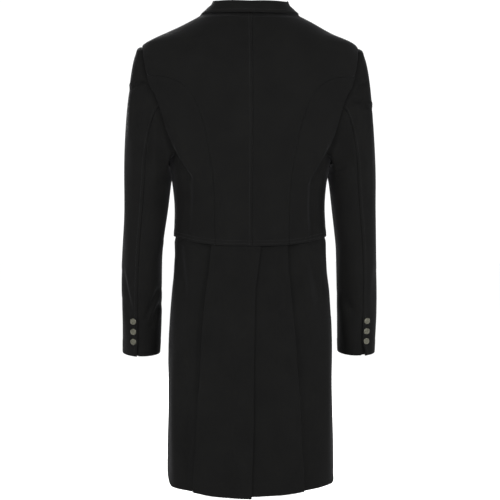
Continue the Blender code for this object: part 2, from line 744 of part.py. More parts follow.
def collar(line):
    """Stand and fall in one folded piece, from gorge to gorge round the neck."""
    roll = line["roll"][::-1]
    keep = roll[roll[:, 1] > GORGE_Z + 0.004]
    gorge_x = rows_between(ROLL_LINE, GORGE_Z, GORGE_Z, 1)[0][0]
    gorge = (float(around_of(gorge_x, GORGE_Z, True)), GORGE_Z)
    neckline = spaced(np.concatenate([joined(line["neck_back"], keep), [gorge]]), 40)
    half = []
    for w in np.linspace(0, 1, COLLAR_STEPS + 1):
        get = lambda k: smooth([row[0] for row in COLLAR], [row[k] for row in COLLAR], w)
        seam_pair = [np.interp(w * 40, range(41), neckline[:, k]) for k in (0, 1)]
        seam, n = body(np.array(seam_pair[0]), np.array(seam_pair[1]))
        seam = seam - n * WALL / 2
        edge, en = body(get(1), get(2))
        edge = edge + en * (WALL / 2 + 0.0022 + 0.0012 * (w > 0.85))
        out = edge - seam
        out[2] = 0
        out = out / np.linalg.norm(out)
        up = np.array([0.0, 0.0, 1.0])
        fold = seam - out * (get(3) - 0.004) + up * get(4)
        base = seam + up * 0.0014
        inside = base * 0.35 + fold * 0.65 - out * 0.0026
        top_in = fold - out * 0.0020 - up * 0.0016
        top_out = fold + out * 0.0022 - up * 0.0014
        outside = fold * 0.45 + edge * 0.55 + out * 0.0030 + up * 0.0012
        half.append((w, [base, inside, top_in, fold, top_out, outside, edge], out))
    mirror = np.array([-1.0, 1.0, 1.0])
    stations = [([p * mirror for p in path], out * mirror) for _, path, out in half[:0:-1]]
    stations += [(path, out) for _, path, out in half]
    loops = []
    for path, out in stations:
        path = np.array(path)
        flat = np.stack([path @ out, path[:, 2]], 1)
        way = np.gradient(flat, axis=0)
        way = way / np.linalg.norm(way, axis=1, keepdims=True)
        side = np.stack([-way[:, 1], way[:, 0]], 1)
        shift = side[:, :1] * out + side[:, 1:] * np.array([0.0, 0.0, 1.0])
        one = path + shift * WALL / 2
        two = path - shift * WALL / 2
        loops.append(np.concatenate([one, two[::-1]]))
    rows, cols = len(loops), len(loops[0])
    faces = []
    for i in range(rows - 1):
        for j in range(cols):
            k = (j + 1) % cols
            faces.append((i * cols + j, i * cols + k, (i + 1) * cols + k, (i + 1) * cols + j))
    half_count = cols // 2
    for i in (0, rows - 1):
        for j in range(half_count - 1):
            faces.append((i * cols + j, i * cols + j + 1, i * cols + cols - 2 - j, i * cols + cols - 1 - j))
    add_object("collar", np.concatenate(loops), faces, CLOTH)


def front_buttons():
    """Two rows of buttons on the wearer's left front."""
    carrier = bpy.data.objects["front_l"]
    for side, mark in ((1, "l"), (-1, "r")):
        for i, (x, z) in enumerate(FRONT_BUTTON_PLACES):
            place = float(around_of(x * side, z, True))
            centre, n = body(np.array(place), np.array(z))
            name = f"front_button_{mark}{i + 1}"
            disc(name, carrier, centre, n, FRONT_BUTTON_RADIUS, FRONT_BUTTON_THICK)


for old in list(bpy.data.objects):
    bpy.data.objects.remove(old, do_unlink=True)
collection = bpy.data.collections.new(NAME)
bpy.context.scene.collection.children.link(collection)

lines = seams()
body_panels(lines)
lapels()
tails()
sleeves(lines)
collar(lines)
front_buttons()
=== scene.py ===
import math

import bmesh
import bpy
import numpy as np
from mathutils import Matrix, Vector


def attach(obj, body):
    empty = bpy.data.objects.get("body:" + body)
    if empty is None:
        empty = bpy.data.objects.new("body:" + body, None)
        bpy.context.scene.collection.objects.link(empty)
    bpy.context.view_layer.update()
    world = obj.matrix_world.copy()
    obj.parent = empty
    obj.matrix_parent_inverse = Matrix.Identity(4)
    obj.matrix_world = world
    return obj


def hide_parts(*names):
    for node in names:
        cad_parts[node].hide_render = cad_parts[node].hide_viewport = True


# Looks of the dressage show jacket: every cloth piece as a thin shell on its solid's form,
# with seams, stitching, folds and metal buttons. Metres; the wearer's front faces -Y.

# Thickness of the cloth and of the solids' walls, and the gaps at seams and between layers.
WALL = 0.0017
GAP = 0.0003
CAD_WALL = 0.0020
LAP_GAP = 0.0012
LAPEL_GAP = 0.0020
FRONT_GAP = 0.0032

# The grid of a cloth piece: points for each step of a seam, cell size, close rows at an edge.
# Then how finely lines, the flat grid of the back and the directions are worked out.
FINE = 6
CELL = 0.0036
EDGE_STEPS = (0.0, 0.0005, 0.0011, 0.0019, 0.0029, 0.0042, 0.0060, 0.0084, 0.0115)
LINE_STEPS = 400
FLAT_STEPS = 48
RELAX_ROUNDS = 6
NEXT_AROUND, NEXT_Z = 0.004, 0.002

# Sections of the body from the neck down, as the solids have them.
TORSO_COLUMNS = ("z", "half_width", "back_y", "front_y", "ridge_y", "square")
TORSO = (
    (0.030, 0.0640, 0.052, -0.030, 0.006, 2.10),
    (0.012, 0.0880, 0.062, -0.046, 0.005, 2.10),
    (0.000, 0.1050, 0.069, -0.057, 0.004, 2.12),
    (-0.020, 0.1405, 0.080, -0.072, 0.002, 2.20),
    (-0.040, 0.1785, 0.089, -0.086, 0.000, 2.30),
    (-0.066, 0.2300, 0.097, -0.098, -0.003, 2.40),
    (-0.100, 0.2420, 0.105, -0.107, -0.005, 2.45),
    (-0.150, 0.2330, 0.113, -0.116, -0.006, 2.50),
    (-0.200, 0.2140, 0.118, -0.123, -0.006, 2.50),
    (-0.250, 0.1950, 0.118, -0.127, -0.005, 2.50),
    (-0.300, 0.1765, 0.114, -0.128, -0.004, 2.45),
    (-0.3525, 0.1665, 0.107, -0.124, -0.003, 2.35),
    (-0.417, 0.1612, 0.097, -0.118, -0.002, 2.30),
    (-0.473, 0.1627, 0.092, -0.114, 0.000, 2.30),
    (-0.503, 0.1623, 0.094, -0.112, 0.002, 2.30),
    (-0.546, 0.1635, 0.102, -0.111, 0.004, 2.30),
    (-0.589, 0.1680, 0.110, -0.111, 0.006, 2.30),
    (-0.6535, 0.1724, 0.119, -0.111, 0.008, 2.30),
    (-0.718, 0.1747, 0.124, -0.111, 0.008, 2.30),
    (-0.8255, 0.1751, 0.128, -0.111, 0.008, 2.35),
    (-0.9115, 0.1761, 0.130, -0.111, 0.008, 2.40),
    (-1.040, 0.1768, 0.132, -0.111, 0.008, 2.40),
)

# Seams and edges as rows of distance from the middle and height.
PRINCESS_LOW = (
    (0.0774, -0.49), (0.0783, -0.409), (0.0835, -0.339), (0.091, -0.298), (0.0985, -0.2565),
    (0.111, -0.214), (0.1225, -0.186), (0.1335, -0.17),
)
PRINCESS_HIGH = ((0.1335, -0.17), (0.153, -0.153), (0.184, -0.141), (0.22, -0.136))
ARMHOLE_TOP = ((0.22, -0.136), (0.2262, -0.106), (0.2295, -0.08), (0.23, -0.066))
ARMHOLE_BACK = (
    (0.22, -0.136), (0.213, -0.158), (0.2012, -0.1755), (0.1884, -0.2095), (0.1733, -0.26),
    (0.16, -0.296), (0.164, -0.316),
)
ARMHOLE_FRONT = (
    (0.167, -0.314), (0.161, -0.27), (0.166, -0.22), (0.183, -0.16), (0.208, -0.11),
    (0.225, -0.08), (0.23, -0.066),
)
FRONT_EDGE = ((-0.051, -0.506), (-0.057, -0.46), (-0.06, -0.4), (-0.06, -0.33))
ROLL_LINE = (
    (-0.06, -0.33), (-0.023, -0.25), (0.014, -0.165), (0.0465, -0.08), (0.07, -0.025),
    (0.081, -0.001), (0.088, 0.012),
)
LAPEL_EDGE = ((-0.052, -0.33), (0.012, -0.28), (0.074, -0.2), (0.12, -0.125), (0.15, -0.056))
LAPEL_TOP = ((0.066, -0.0395), (0.108, -0.052), (0.15, -0.056))
VENT_EDGE = (
    (-0.0186, -0.496), (-0.011, -0.549), (-0.006, -0.588), (-0.004, -0.66), (-0.0015, -0.746),
    (-0.001, -0.863), (0.001, -0.937), (0.0035, -1.015),
)
PLEAT_EDGE = (
    (0.08, -0.496), (0.0835, -0.55), (0.0895, -0.6), (0.0925, -0.637), (0.0962, -0.675),
    (0.1013, -0.762), (0.1058, -0.82), (0.109, -0.91), (0.113, -0.95), (0.115, -1.015),
)
LAPEL_FOOT_RISE = 0.004
RIGHT_LAPEL_FOOT = -0.248
RIGHT_LAPEL_TURN = 0.006

# Lines given by the place round the body, 0 centre back, 1 side, 2 centre front, and height.
WAIST = (
    (0.0, -0.4955), (0.25, -0.4935), (0.5, -0.4865), (0.75, -0.479), (1.0, -0.474),
    (1.4, -0.48), (1.8, -0.498), (2.4, -0.51),
)
NECK_BACK = ((0.0, 0.002), (0.5, 0.0045), (0.75, 0.0085), (0.9, 0.0107), (1.0, 0.012))
TAIL_FRONT = (
    (1.45, -0.481), (1.3, -0.56), (1.18, -0.68), (1.1, -0.82), (1.05, -0.9), (1.02, -0.95),
    (0.98, -0.974), (0.9, -0.988), (0.78, -0.996),
)
HEM = ((0.0, -1.012), (0.25, -1.008), (0.48, -1.001), (0.78, -0.996))
SIDE_SEAM_AROUND = 1.06
UNDERARM_Z = -0.3165
SHOULDER_TIP_Z = -0.066
NECK_POINT_Z = 0.012
SHOULDER_BEND = (1.0, -0.03)
SIDE_MIDDLE_Z = -0.4
CENTRE_LINE = ((0.0, -0.2), (0.0, 0.002))

# Overlap of the fronts, the vent and the pleats: where each starts and over what width.
FRONT_LAP = (0.082, 0.030)
FRONT_LAP_TOP, FRONT_LAP_FADE = -0.120, 0.080
VENT_LAP = (0.058, 0.024)
VENT_UNDER = 0.040
VENT_TOP_SHARE = 0.9
PLEAT_UNDER = 0.030
PLEAT_DEPTH = 0.0060
PLEAT_WIDTH = 0.036
LEFT_TAIL_DROP = 0.004
# How much further out the left pleat runs than the mean of both, by height.
PLEAT_SKEW = ((-0.496, 0.0055), (-0.58, 0.0085), (-0.65, 0.0095), (-0.82, 0.008), (-1.02, 0.0085))

# Where sleeve and body lie against each other below the armhole.
UNDERARM_SWELL = 0.0018
UNDERARM_SPREAD = 0.28
SLEEVE_SWELL = 0.0042
SWELL_TURN = 0.7
SWELL_Z = -0.3350
SWELL_REACH = 0.0140

# The back lies lower under the collar: how far, from where, and how it fades.
COLLAR_SINK = -0.0026
SINK_START, SINK_FADE = 0.0060, 0.0040
SINK_TOP_FADE = 0.0025
SINK_SIDE, SINK_SIDE_FADE = 0.95, 0.25

# Broad soft folds that the solids also have: place round the body and height of the top, the
# same of the foot, then spread and depth.
DRAPES = (
    (0.68, -0.190, 0.50, -0.380, 0.075, 0.0032),
    (0.58, -0.300, 0.57, -0.500, 0.090, -0.0045),
    (0.80, -0.330, 0.78, -0.520, 0.090, 0.0015),
    (0.33, -0.480, 0.62, -0.760, 0.070, 0.0020),
    (0.70, -0.640, 0.72, -1.060, 0.110, 0.0030),
)

# Uneven folds of the cloth, in millimetres. The first number is 1 on the back and -1 on the
# front. Then come its start, the place it bends towards and its end, each by x and z, its width
# and height, and how much of it is a step from one side to the other instead of a ridge.
MILLI = 0.001
BODY_FOLDS = (
    (1, 164, -283, 143, -325, 122, -356, 6.2, -8.5, 0.9),
    (1, 126, -340, 130, -410, 132, -490, 9, -4.2, 0.85),
    (1, 151, -345, 149, -400, 153, -470, 6.6, -2.8, 0),
    (1, -160, -283, -137, -328, -119, -366, 6.2, 8.5, 0.9),
    (1, -121.5, -346, -118, -410, -122, -486, 8.5, 4.6, 0.9),
    (1, -148, -340, -145, -400, -150, -465, 6.6, -3.1, 0),
    (1, 205, -165, 165, -215, 140, -290, 15, 2.4, 0),
    (1, -200, -160, -158, -215, -132, -300, 15, 2.7, 0),
    (1, 180, -100, 110, -112, 50, -98, 20, 1.4, 0),
    (1, -60, -92, -120, -110, -185, -98, 18, 1.2, 0),
    (1, 46, -330, 60, -400, 56, -480, 12, 1.5, 0),
    (1, -34, -360, -40, -430, -56, -488, 12, 1.5, 0),
    (-1, 158, -290, 128, -340, 100, -385, 10, 4.5, 0.55),
    (-1, -150, -285, -122, -345, -88, -372, 10, -4.8, 0.55),
    (-1, 132, -400, 92, -410, 60, -418, 7.4, 3.2, 0),
    (-1, -138, -395, -95, -425, -55, -420, 7.4, 3.2, 0),
    (-1, 118, -340, 110, -410, 126, -480, 11, -3, 0),
    (-1, -112, -350, -118, -420, -110, -480, 11, -3, 0),
    (-1, 180, -180, 150, -230, 135, -290, 13, 2.7, 0),
    (-1, -176, -175, -150, -235, -140, -300, 13, 2.7, 0),
)
TAIL_FOLDS = (
    (1, 150, -486, 146, -540, 138, -610, 7.4, -5.9, 0.3),
    (1, 160, -520, 157, -600, 162, -700, 7.4, 2.4, 0),
    (1, 138, -740, 134, -860, 140, -1010, 13, -7.5, 0.25),
    (1, 160, -720, 157, -860, 158, -1000, 12, 3.9, 0),
    (1, 108, -560, 114, -660, 116, -800, 11, -3, 0),
    (1, -124, -505, -140, -560, -152, -615, 11, -6.3, 0.35),
    (1, -104, -500, -118, -560, -118, -650, 11, 2.7, 0),
    (1, -122, -780, -128, -880, -126, -1000, 12, -4.5, 0.2),
    (1, -160, -640, -154, -800, -158, -1000, 14, 3.6, 0),
    (1, 62, -500, 58, -600, 66, -760, 15, 2.4, 0),
    (1, 30, -560, 44, -760, 40, -1010, 18, 3, 0),
    (1, -44, -500, -52, -640, -48, -820, 15, 2.4, 0),
    (1, -68, -640, -74, -820, -66, -1010, 18, 3.3, 0),
    (-1, 150, -500, 156, -580, 160, -680, 10, -3.3, 0),
    (-1, -146, -500, -154, -590, -160, -690, 10, -3.3, 0),
)
SLEEVE_FOLDS = (
    (1, 260, -163, 232, -139, 208, -152, 4.6, -11, 0.5),
    (1, 211, -150, 196, -180, 190, -222, 6.6, -5.3, 0.1),
    (1, 222, -180, 219, -240, 222, -320, 5.7, 2.4, 0),
    (1, 246, -190, 238, -250, 244, -330, 12, 2.7, 0),
    (1, 196, -300, 214, -350, 206, -430, 11, 2.7, 0),
    (1, 266, -540, 256, -583.6, 245, -632, 4.8, 2.6, 0),
    (1, 272, -540, 263.5, -586, 253, -634, 5, -2.6, 0),
    (1, 270, -600, 262, -630, 256, -660, 6.6, -2.4, 0),
    (1, 190, -583, 203, -605, 221.5, -650, 5, -6.2, 0.3),
    (1, 188, -615, 202, -633, 209, -670, 5.2, -5, 0.3),
    (1, 188, -480, 204, -510, 214, -560, 11, 2.7, 0),
    (1, -204, -184, -234, -185, -262, -199, 5, -9.5, 0.6),
    (1, -220, -161, -235, -152, -250, -140, 4.2, -7, 0.5),
    (1, -224, -210, -214, -262, -220, -330, 6.6, 3.2, 0),
    (1, -250, -230, -246, -300, -252, -380, 12, 2.7, 0),
    (1, -193, -588, -207.5, -619.6, -226, -640, 7.5, -3.4, 0.2),
    (1, -192, -500, -196, -560, -192, -640, 6.6, 2.4, 0),
    (1, -270, -540, -262, -590, -266, -640, 6.6, -1.8, 0),
    (-1, 262, -150, 236, -165, 206, -160, 6.6, -4.9, 0.3),
    (-1, -258, -160, -232, -170, -204, -158, 6.6, -4.6, 0.3),
    (-1, 204, -300, 228, -360, 256, -420, 11, 3.6, 0),
    (-1, -200, -310, -226, -372, -250, -420, 11, 3.3, 0),
    (-1, 262, -440, 232, -470, 196, -462, 5.3, -5.3, 0.2),
    (-1, -266, -450, -236, -476, -200, -480, 5.3, -4.9, 0.2),
    (-1, 266, -490, 236, -505, 208, -500, 5.3, -4.2, 0.2),
    (-1, -262, -500, -236, -522, -206, -512, 5.3, -4.6, 0.2),
    (-1, 252, -580, 230, -610, 214, -660, 6.6, 3.2, 0),
    (-1, -248, -590, -232, -620, -212, -650, 6.6, 3.2, 0),
    (1, 252.6, -180.8, 253.7, -216.8, 255.8, -269.8, 5, 1.8, 0),
    (1, 220.7, -202, 222.8, -248.6, 231.3, -322.8, 6, 2.2, 0),
    (1, 233.4, -210.5, 237.7, -269.8, 244.1, -333.4, 5, -1.6, 0),
    (1, 207.9, -227.4, 212.1, -291, 214.3, -375.8, 6, -2, 0),
    (1, -228.8, -216.8, -235.1, -280.4, -239.4, -375.8, 8, 2.2, 0),
    (1, -247.9, -238, -252.2, -312.2, -250.1, -397, 6, -1.6, 0),
    (1, -172.5, -339, -184, -329, -202, -323, 4.2, -3.4, 0.3),
)
FOLD_POINTS = 41
FOLD_REACH = 3.2
FOLD_FACING, FOLD_TURN = -0.3, 0.5
FOLD_TAPER = 0.4
STEP_HEIGHT, STEP_FALL = 1.65, 0.7

# Low waves of the cloth: spans of the waves for each metre along x, y and z, and of the phase.
WAVES = np.random.default_rng(7)
RIPPLE_SPANS = ((25, 95), (25, 95), (6, 26), (0, 6.28))
RIPPLES = [[WAVES.uniform(*span) for span in RIPPLE_SPANS] for _ in range(9)]
RIPPLE_HEIGHT = 0.00024
SLEEVE_RIPPLE, COLLAR_RIPPLE = 1.2, 0.5

# Rings of the sleeve below its head, from the top down.
SLEEVE_COLUMNS = ("z", "centre_x", "centre_y", "half_width", "half_depth", "tilt")
SLEEVE = (
    (-0.3525, 0.2192, 0.003, 0.0502, 0.066, 0.00),
    (-0.4170, 0.2230, 0.004, 0.0466, 0.063, 0.01),
    (-0.4600, 0.2265, 0.002, 0.0448, 0.061, 0.02),
    (-0.5030, 0.2296, -0.001, 0.0434, 0.059, 0.04),
    (-0.5675, 0.2317, -0.009, 0.0429, 0.056, 0.08),
    (-0.6320, 0.2327, -0.019, 0.0424, 0.052, 0.11),
    (-0.6965, 0.2332, -0.030, 0.0409, 0.048, 0.13),
    (-0.7240, 0.2336, -0.035, 0.0400, 0.047, 0.14),
)
SLEEVE_SQUARE = 2.15
SEAM_ANGLE_CUFF = 82.0
FORE_ANGLE_CUFF = -60.0
# Seams of the sleeve as steps round the armhole from the shoulder tip over the back.
HIND_SEAM = 5
LOW_SEAM = 10
FORE_SEAM = 15
SLEEVE_GRAIN = 0.0026
SLEEVE_EDGE_STEPS = EDGE_STEPS[:7]

# The sleeve's head: length, how it leaves the armhole and how it meets the first ring.
CAP_LENGTH = 0.176
CAP_LEAN = -0.05
CAP_SIDE = 0.35
CAP_LEAVE, CAP_LEAVE_TOP = 0.018, 0.072
CAP_ARRIVE, CAP_ARRIVE_TOP = 0.04, 0.21
CAP_CUFF_SHARE = 0.35
CUFF_SHARE_SPEED = 1.8
CAP_NORMAL_REACH, CAP_NORMAL_POWER = 0.045, 1.5
HEAD_FADE = 0.014
HEAD_Z, HEAD_SPAN = -0.135, 0.05
HEAD_ROLL, HEAD_ROLL_AT, HEAD_ROLL_REACH = 0.0022, 0.009, 0.007

# The vent of the cuff: its edge, how far each flap lies out, and its open corner.
CUFF_VENT_TOP, CUFF_VENT_FADE = -0.6420, 0.012
CUFF_VENT_REACH = 0.010
UPPER_FLAP, UNDER_FLAP = 0.0011, -0.0013
NOTCH_TOP, NOTCH_FADE, NOTCH_REACH = -0.6980, 0.024, 0.012
NOTCH_SPAN = -8
CUFF_NOTCH = {"l": 0.0012, "r": 0.0062}

# The collar from the centre back to the gorge: where its edge lies, and its fold line.
COLLAR_COLUMNS = ("seam_part", "edge_around", "edge_z", "lean", "rise")
COLLAR = (
    (0.00, 0.00, -0.0050, 0.0050, 0.0205),
    (0.20, 0.24, -0.0050, 0.0055, 0.0208),
    (0.45, 0.52, -0.0034, 0.0080, 0.0202),
    (0.62, 0.79, 0.0002, 0.0155, 0.0180),
    (0.72, 1.00, 0.0010, 0.0170, 0.0145),
    (0.80, 1.20, -0.0060, 0.0150, 0.0135),
    (0.88, 1.38, -0.0210, 0.0110, 0.0120),
    (1.00, 1.60, -0.0455, 0.0040, 0.0070),
)
# The collar's section: shares of seam, fold line and edge, then how far out and up.
COLLAR_SECTION = (
    (1.00, 0.00, 0.00, 0.0000, 0.0014),
    (0.35, 0.65, 0.00, -0.0026, 0.00049),
    (0.00, 1.00, 0.00, -0.0020, -0.0016),
    (0.00, 1.00, 0.00, 0.0000, 0.0000),
    (0.00, 1.00, 0.00, 0.0022, -0.0014),
    (0.00, 0.45, 0.55, 0.0030, 0.0012),
    (0.00, 0.00, 1.00, 0.0000, 0.0000),
)
GORGE_Z = -0.036
GORGE_CLEAR = 0.004
COLLAR_STATIONS = 61
COLLAR_STEPS = 27
COLLAR_EDGE_STEPS = EDGE_STEPS[:6]
COLLAR_ROUNDS = 2
NECK_STEPS = 240
FACE_UP = 0.2
COLLAR_LEAN = 0.004
# Its edge stands off the back, more over the lapels and less beside the shoulders.
COLLAR_CLEAR = 0.0022
LAPEL_CLEAR, LAPEL_START, LAPEL_FADE = 0.0012, 0.80, 0.08
SIDE_CLEAR, SIDE_PLACE, SIDE_REACH = -0.0016, 0.68, 0.10
ROLL_PULL, PULL_PLACE, PULL_REACH = -0.0095, 0.52, 0.14
NECK_STITCH_AT, NECK_STITCH_HALF = 0.0185, 0.072

# What an edge of a piece looks like: how far its seam draws the cloth in, or out where less
# than 0, and over what reach. Then come height and width of the pressed allowance under it,
# and its stitched lines by distance.
EDGE_STYLES = {
    "seam": (0.0005, 0.0018, 0.0, 0.0, ()),
    "ridge": (0.0004, 0.0014, 0.0004, 0.0085, ()),
    "armhole_over": (-0.0012, 0.0070, 0.0, 0.0, ()),
    "armhole_under": (0.0036, 0.0075, 0.0, 0.0, ()),
    "topstitched": (0.0010, 0.0014, 0.0004, 0.0085, (0.0068,)),
    "waist_over": (0.0002, 0.0008, 0.0009, 0.0135, (0.0050, 0.0115)),
    "waist_under": (0.0026, 0.0080, 0.0, 0.0, ()),
    "pleated": (-0.0016, 0.0110, 0.0, 0.0, ()),
    "folded_stitched": (0.0006, 0.0008, 0.0004, 0.0090, (0.0060,)),
    "hem": (0.0007, 0.0009, 0.0004, 0.0260, ()),
    "none": (0.0, 0.0, 0.0, 0.0, ()),
}
RIDGE_FALL, RIDGE_START = 0.0022, 0.0012
GROOVE_DEPTH, GROOVE_REACH = 0.0003, 0.0011
RIM_ROUND = 0.22

# The cloth beyond a seam: how far out, how far in, and how far its face turns.
ALLOWANCE = (
    (0.00008, 0.0005, 0.0), (0.00020, 0.0013, 0.0), (0.00045, WALL + 0.0003, 0.0),
    (0.0020, WALL + 0.0004, 0.0), (0.0065, WALL + 0.0009, 0.0),
)
VENT_FLAP = ALLOWANCE + ((0.0095, WALL + 0.0016, 0.0), (0.0125, WALL + 0.0025, 0.0))
ROLL_RADIUS = (CAD_WALL + LAPEL_GAP + WALL) / 2
ROLL_OVER = tuple(
    (ROLL_RADIUS * math.sin(a), ROLL_RADIUS * (1 - math.cos(a)), a)
    for a in np.radians(np.arange(15, 181, 15))
)
EDGE_AXES = {"left": (1, 1), "right": (1, -1), "low": (0, 1), "high": (0, -1)}
INNER_ROW = 3
BODY_GRAIN = 0.28
LEAST_FILL = 0.31

# Rough width and height of the body pieces, for the number of cells in their grids.
SIZES = {
    "back": (0.135, 0.490), "side_back": (0.110, 0.340), "front": (0.190, 0.460),
    "lapel": (0.080, 0.300), "tail_centre": (0.105, 0.515), "tail_side": (0.150, 0.515),
}
LAPEL_ROWS = 30
TAIL_STEPS = 15

# Stitches: pitch, length and thread radius, then rings along one by place, width and lift.
PITCH = 0.0031
STITCH = 0.0022
THREAD = 0.00022
THREAD_SIDES = 6
STITCH_RINGS = ((-0.5, 0.35, -0.6), (-0.32, 1.0, 0.35), (0.32, 1.0, 0.35), (0.5, 0.35, -0.6))
STITCH_AHEAD = 0.0006

# Buttons: radius and thickness, and the dished face as shares of the rim and half thickness.
BUTTONS = {"cuff": (0.0068, 0.0028), "front": (0.0105, 0.0034)}
BUTTON_FACE = ((0.985, 0.96), (0.95, 0.52), (0.91, 0.46), (0.70, 0.55), (0.40, 0.66), (0.12, 0.70))
BUTTON_RIM = 0.84
BUTTON_BACK = 0.80
BUTTON_SHANK = (0.0012, 0.0014)
BUTTON_EDGE, BUTTON_EDGE_RISE = 0.7, 0.92
BUTTON_MIDDLE = 0.0002
BUTTON_STEPS = 40
# Middle of the sleeve beside the cuff buttons, by x and y.
CUFF_MIDDLE = (0.234, -0.02)

CAMERA_TURN = 183.0
CAMERA_DISTANCE = 3.0
CAMERA_HEIGHT = -0.503
FOCAL = 100.465
SENSOR = 36.0
FLOOR_Z = -1.040
FLOOR_SIZE = 60.0
FLOOR_TONE = 0.93
WORLD_LIGHT = 1.09
# Lights by name: place, aim, width and height, and watts.
AIM = (0.0, 0.0, -0.45)
LIGHTS = {
    "key_left": ((2.1, 2.3, 1.1), AIM, (0.7, 1.4), 110.0),
    "key_right": ((-2.1, 2.5, 0.9), AIM, (0.8, 1.6), 108.0),
    "behind_camera": ((0.0, 3.6, -0.7), AIM, (1.8, 1.2), 190.0),
    "low_left": ((3.0, 0.7, -0.9), (0.1, 0.0, -0.8), (0.6, 0.5), 60.0),
    "low_right": ((-3.0, 0.8, -0.9), (-0.1, 0.0, -0.8), (0.6, 0.5), 75.0),
    "front_fill": ((0.4, -2.8, 0.8), AIM, (2.0, 2.0), 170.0),
}


def cubic(t, start, leave, end, arrive):
    """A curve from start to end that leaves and arrives in given directions."""
    return (
        (2 * t**3 - 3 * t**2 + 1) * start + (t**3 - 2 * t**2 + t) * leave
        + (3 * t**2 - 2 * t**3) * end + (t**3 - t**2) * arrive
    )


def smooth(xs, ys, at):
    """Values between rows without overshoot."""
    xs, ys = np.asarray(xs, float), np.asarray(ys, float)
    if xs[0] > xs[-1]:
        xs, ys = xs[::-1], ys[::-1]
    at = np.clip(at, xs[0], xs[-1])
    step = np.diff(xs)
    slope = np.diff(ys) / step
    tangent = np.zeros(len(xs))
    tangent[0], tangent[-1] = slope[0], slope[-1]
    for i in range(1, len(xs) - 1):
        if slope[i - 1] * slope[i] > 0:
            near, far = 2 * step[i] + step[i - 1], step[i] + 2 * step[i - 1]
            tangent[i] = (near + far) / (near / slope[i - 1] + far / slope[i])
    i = np.clip(np.searchsorted(xs, at, side="right") - 1, 0, len(step) - 1)
    leave, arrive = step[i] * tangent[i], step[i] * tangent[i + 1]
    return cubic((at - xs[i]) / step[i], ys[i], leave, ys[i + 1], arrive)


def ease(t):
    """A soft step from 0 to 1."""
    t = np.clip(t, 0, 1)
    return t * t * (3 - 2 * t)


def gone(distance, reach):
    """1 at an edge, fading to 0 at a distance."""
    return np.exp(-((distance / reach) ** 2))


def unit(v, least=0.0):
    """Directions of length 1."""
    return v / np.maximum(np.linalg.norm(v, axis=-1, keepdims=True), least)


def rounded(v, power):
    """A sine or cosine made fuller, for sections between round and square."""
    return np.sign(v) * np.abs(v) ** power


def run_of(points):
    """The distance along a line of points."""
    return np.concatenate([[0], np.cumsum(np.linalg.norm(np.diff(points, axis=0), axis=1))])


def read_line(points, run, at):
    """Points of a line at distances along it."""
    return np.stack([np.interp(at, run, values) for values in points.T], 1)


def read(rows, at, key=0, value=1):
    """One column of a table at values of another."""
    return smooth([row[key] for row in rows], [row[value] for row in rows], at)


def column(rows, names, name, at):
    return read(rows, at, 0, names.index(name))


def body_column(name, z):
    return column(TORSO, TORSO_COLUMNS, name, z)


def hem_z(around):
    return read(HEM, np.abs(around))


def drape(around, z):
    """How far the broad folds move the cloth out of the plain surface."""
    total = UNDERARM_SWELL * gone(around - 1.0, UNDERARM_SPREAD) * gone(z - SWELL_Z, SWELL_REACH)
    for top_around, top_z, low_around, low_z, spread, depth in DRAPES:
        t = np.clip((top_z - z) / (top_z - low_z), 0, 1)
        centre = top_around + (low_around - top_around) * t
        total = total + depth * np.sin(np.pi * t) * gone(around - centre, spread)
    return total


def plain_body(around, z):
    """A point of the plain body surface on the wearer's left half."""
    turn = np.asarray(around, float) * math.pi / 2
    power = 2 / body_column("square", z)
    x = body_column("half_width", z) * rounded(np.sin(turn), power)
    ridge, along = body_column("ridge_y", z), np.cos(turn)
    far = np.where(along >= 0, body_column("back_y", z) - ridge, ridge - body_column("front_y", z))
    return np.stack([x, ridge + far * rounded(along, power), z + 0 * x], -1)


def body_normal(around, z):
    along = plain_body(around + NEXT_AROUND, z) - plain_body(around - NEXT_AROUND, z)
    up = plain_body(around, z + NEXT_Z) - plain_body(around, z - NEXT_Z)
    return unit(np.cross(up, along))


def around_of(x, z, front=False):
    """The place round the body of a point that is x from the middle at height z."""
    share = np.clip(np.abs(x) / body_column("half_width", z), 0, 1)
    turn = np.arcsin(share ** (body_column("square", z) / 2)) * 2 / math.pi
    turn = np.where(np.asarray(x) < 0, -turn, turn)
    return 2 - turn if front else turn


def placed(rows, front=False):
    """Rows of distance and height as pairs of place and height."""
    return [(float(around_of(x, z, front)), z) for x, z in rows]


def spaced(pairs, count):
    """Evenly spaced pairs of place and height along a line of the body surface."""
    pairs = np.asarray(pairs, float)
    run = run_of(plain_body(*pairs.T))
    fine = np.linspace(0, run[-1], LINE_STEPS)
    line = np.stack([smooth(run, values, fine) for values in pairs.T], 1)
    run = run_of(plain_body(*line.T))
    return read_line(line, run, np.linspace(0, run[-1], count + 1))


def line_of(rows, count, front=False, end=None, start=None):
    """A seam from rows of distance and height, as evenly spaced pairs."""
    pairs = np.array(placed(rows, front))
    if start is not None:
        pairs[0] = start
    if end is not None:
        pairs[-1] = end
    return spaced(pairs, count * FINE)


def joined(*lines):
    return np.concatenate([lines[0]] + [line[1:] for line in lines[1:]])


def take(line, shares):
    """Places of a line at shares of its count of points."""
    return read_line(line, np.arange(len(line)), np.asarray(shares) * (len(line) - 1))


def graded(length, ends=2):
    """Shares of a length with close steps next to both ends, or to its start alone."""
    near = np.array(EDGE_STEPS)
    far = length - (ends - 1) * near[-1]
    middle = np.linspace(near[-1], far, max(2, round((far - near[-1]) / CELL)) + 1)[1:]
    return np.concatenate([near, middle, length - near[-2::-1] if ends == 2 else []]) / length


def between(low, high, left, right, u, v):
    """Pairs between four edges that share their corners, at shares u and v."""
    u, v = u[None, :, None], v[:, None, None]
    ruled = low[None] * (1 - v) + high[None] * v + left[:, None] * (1 - u) + right[:, None] * u
    corners = (
        low[0] * (1 - u) * (1 - v) + low[-1] * u * (1 - v)
        + high[0] * (1 - u) * v + high[-1] * u * v
    )
    return ruled - corners


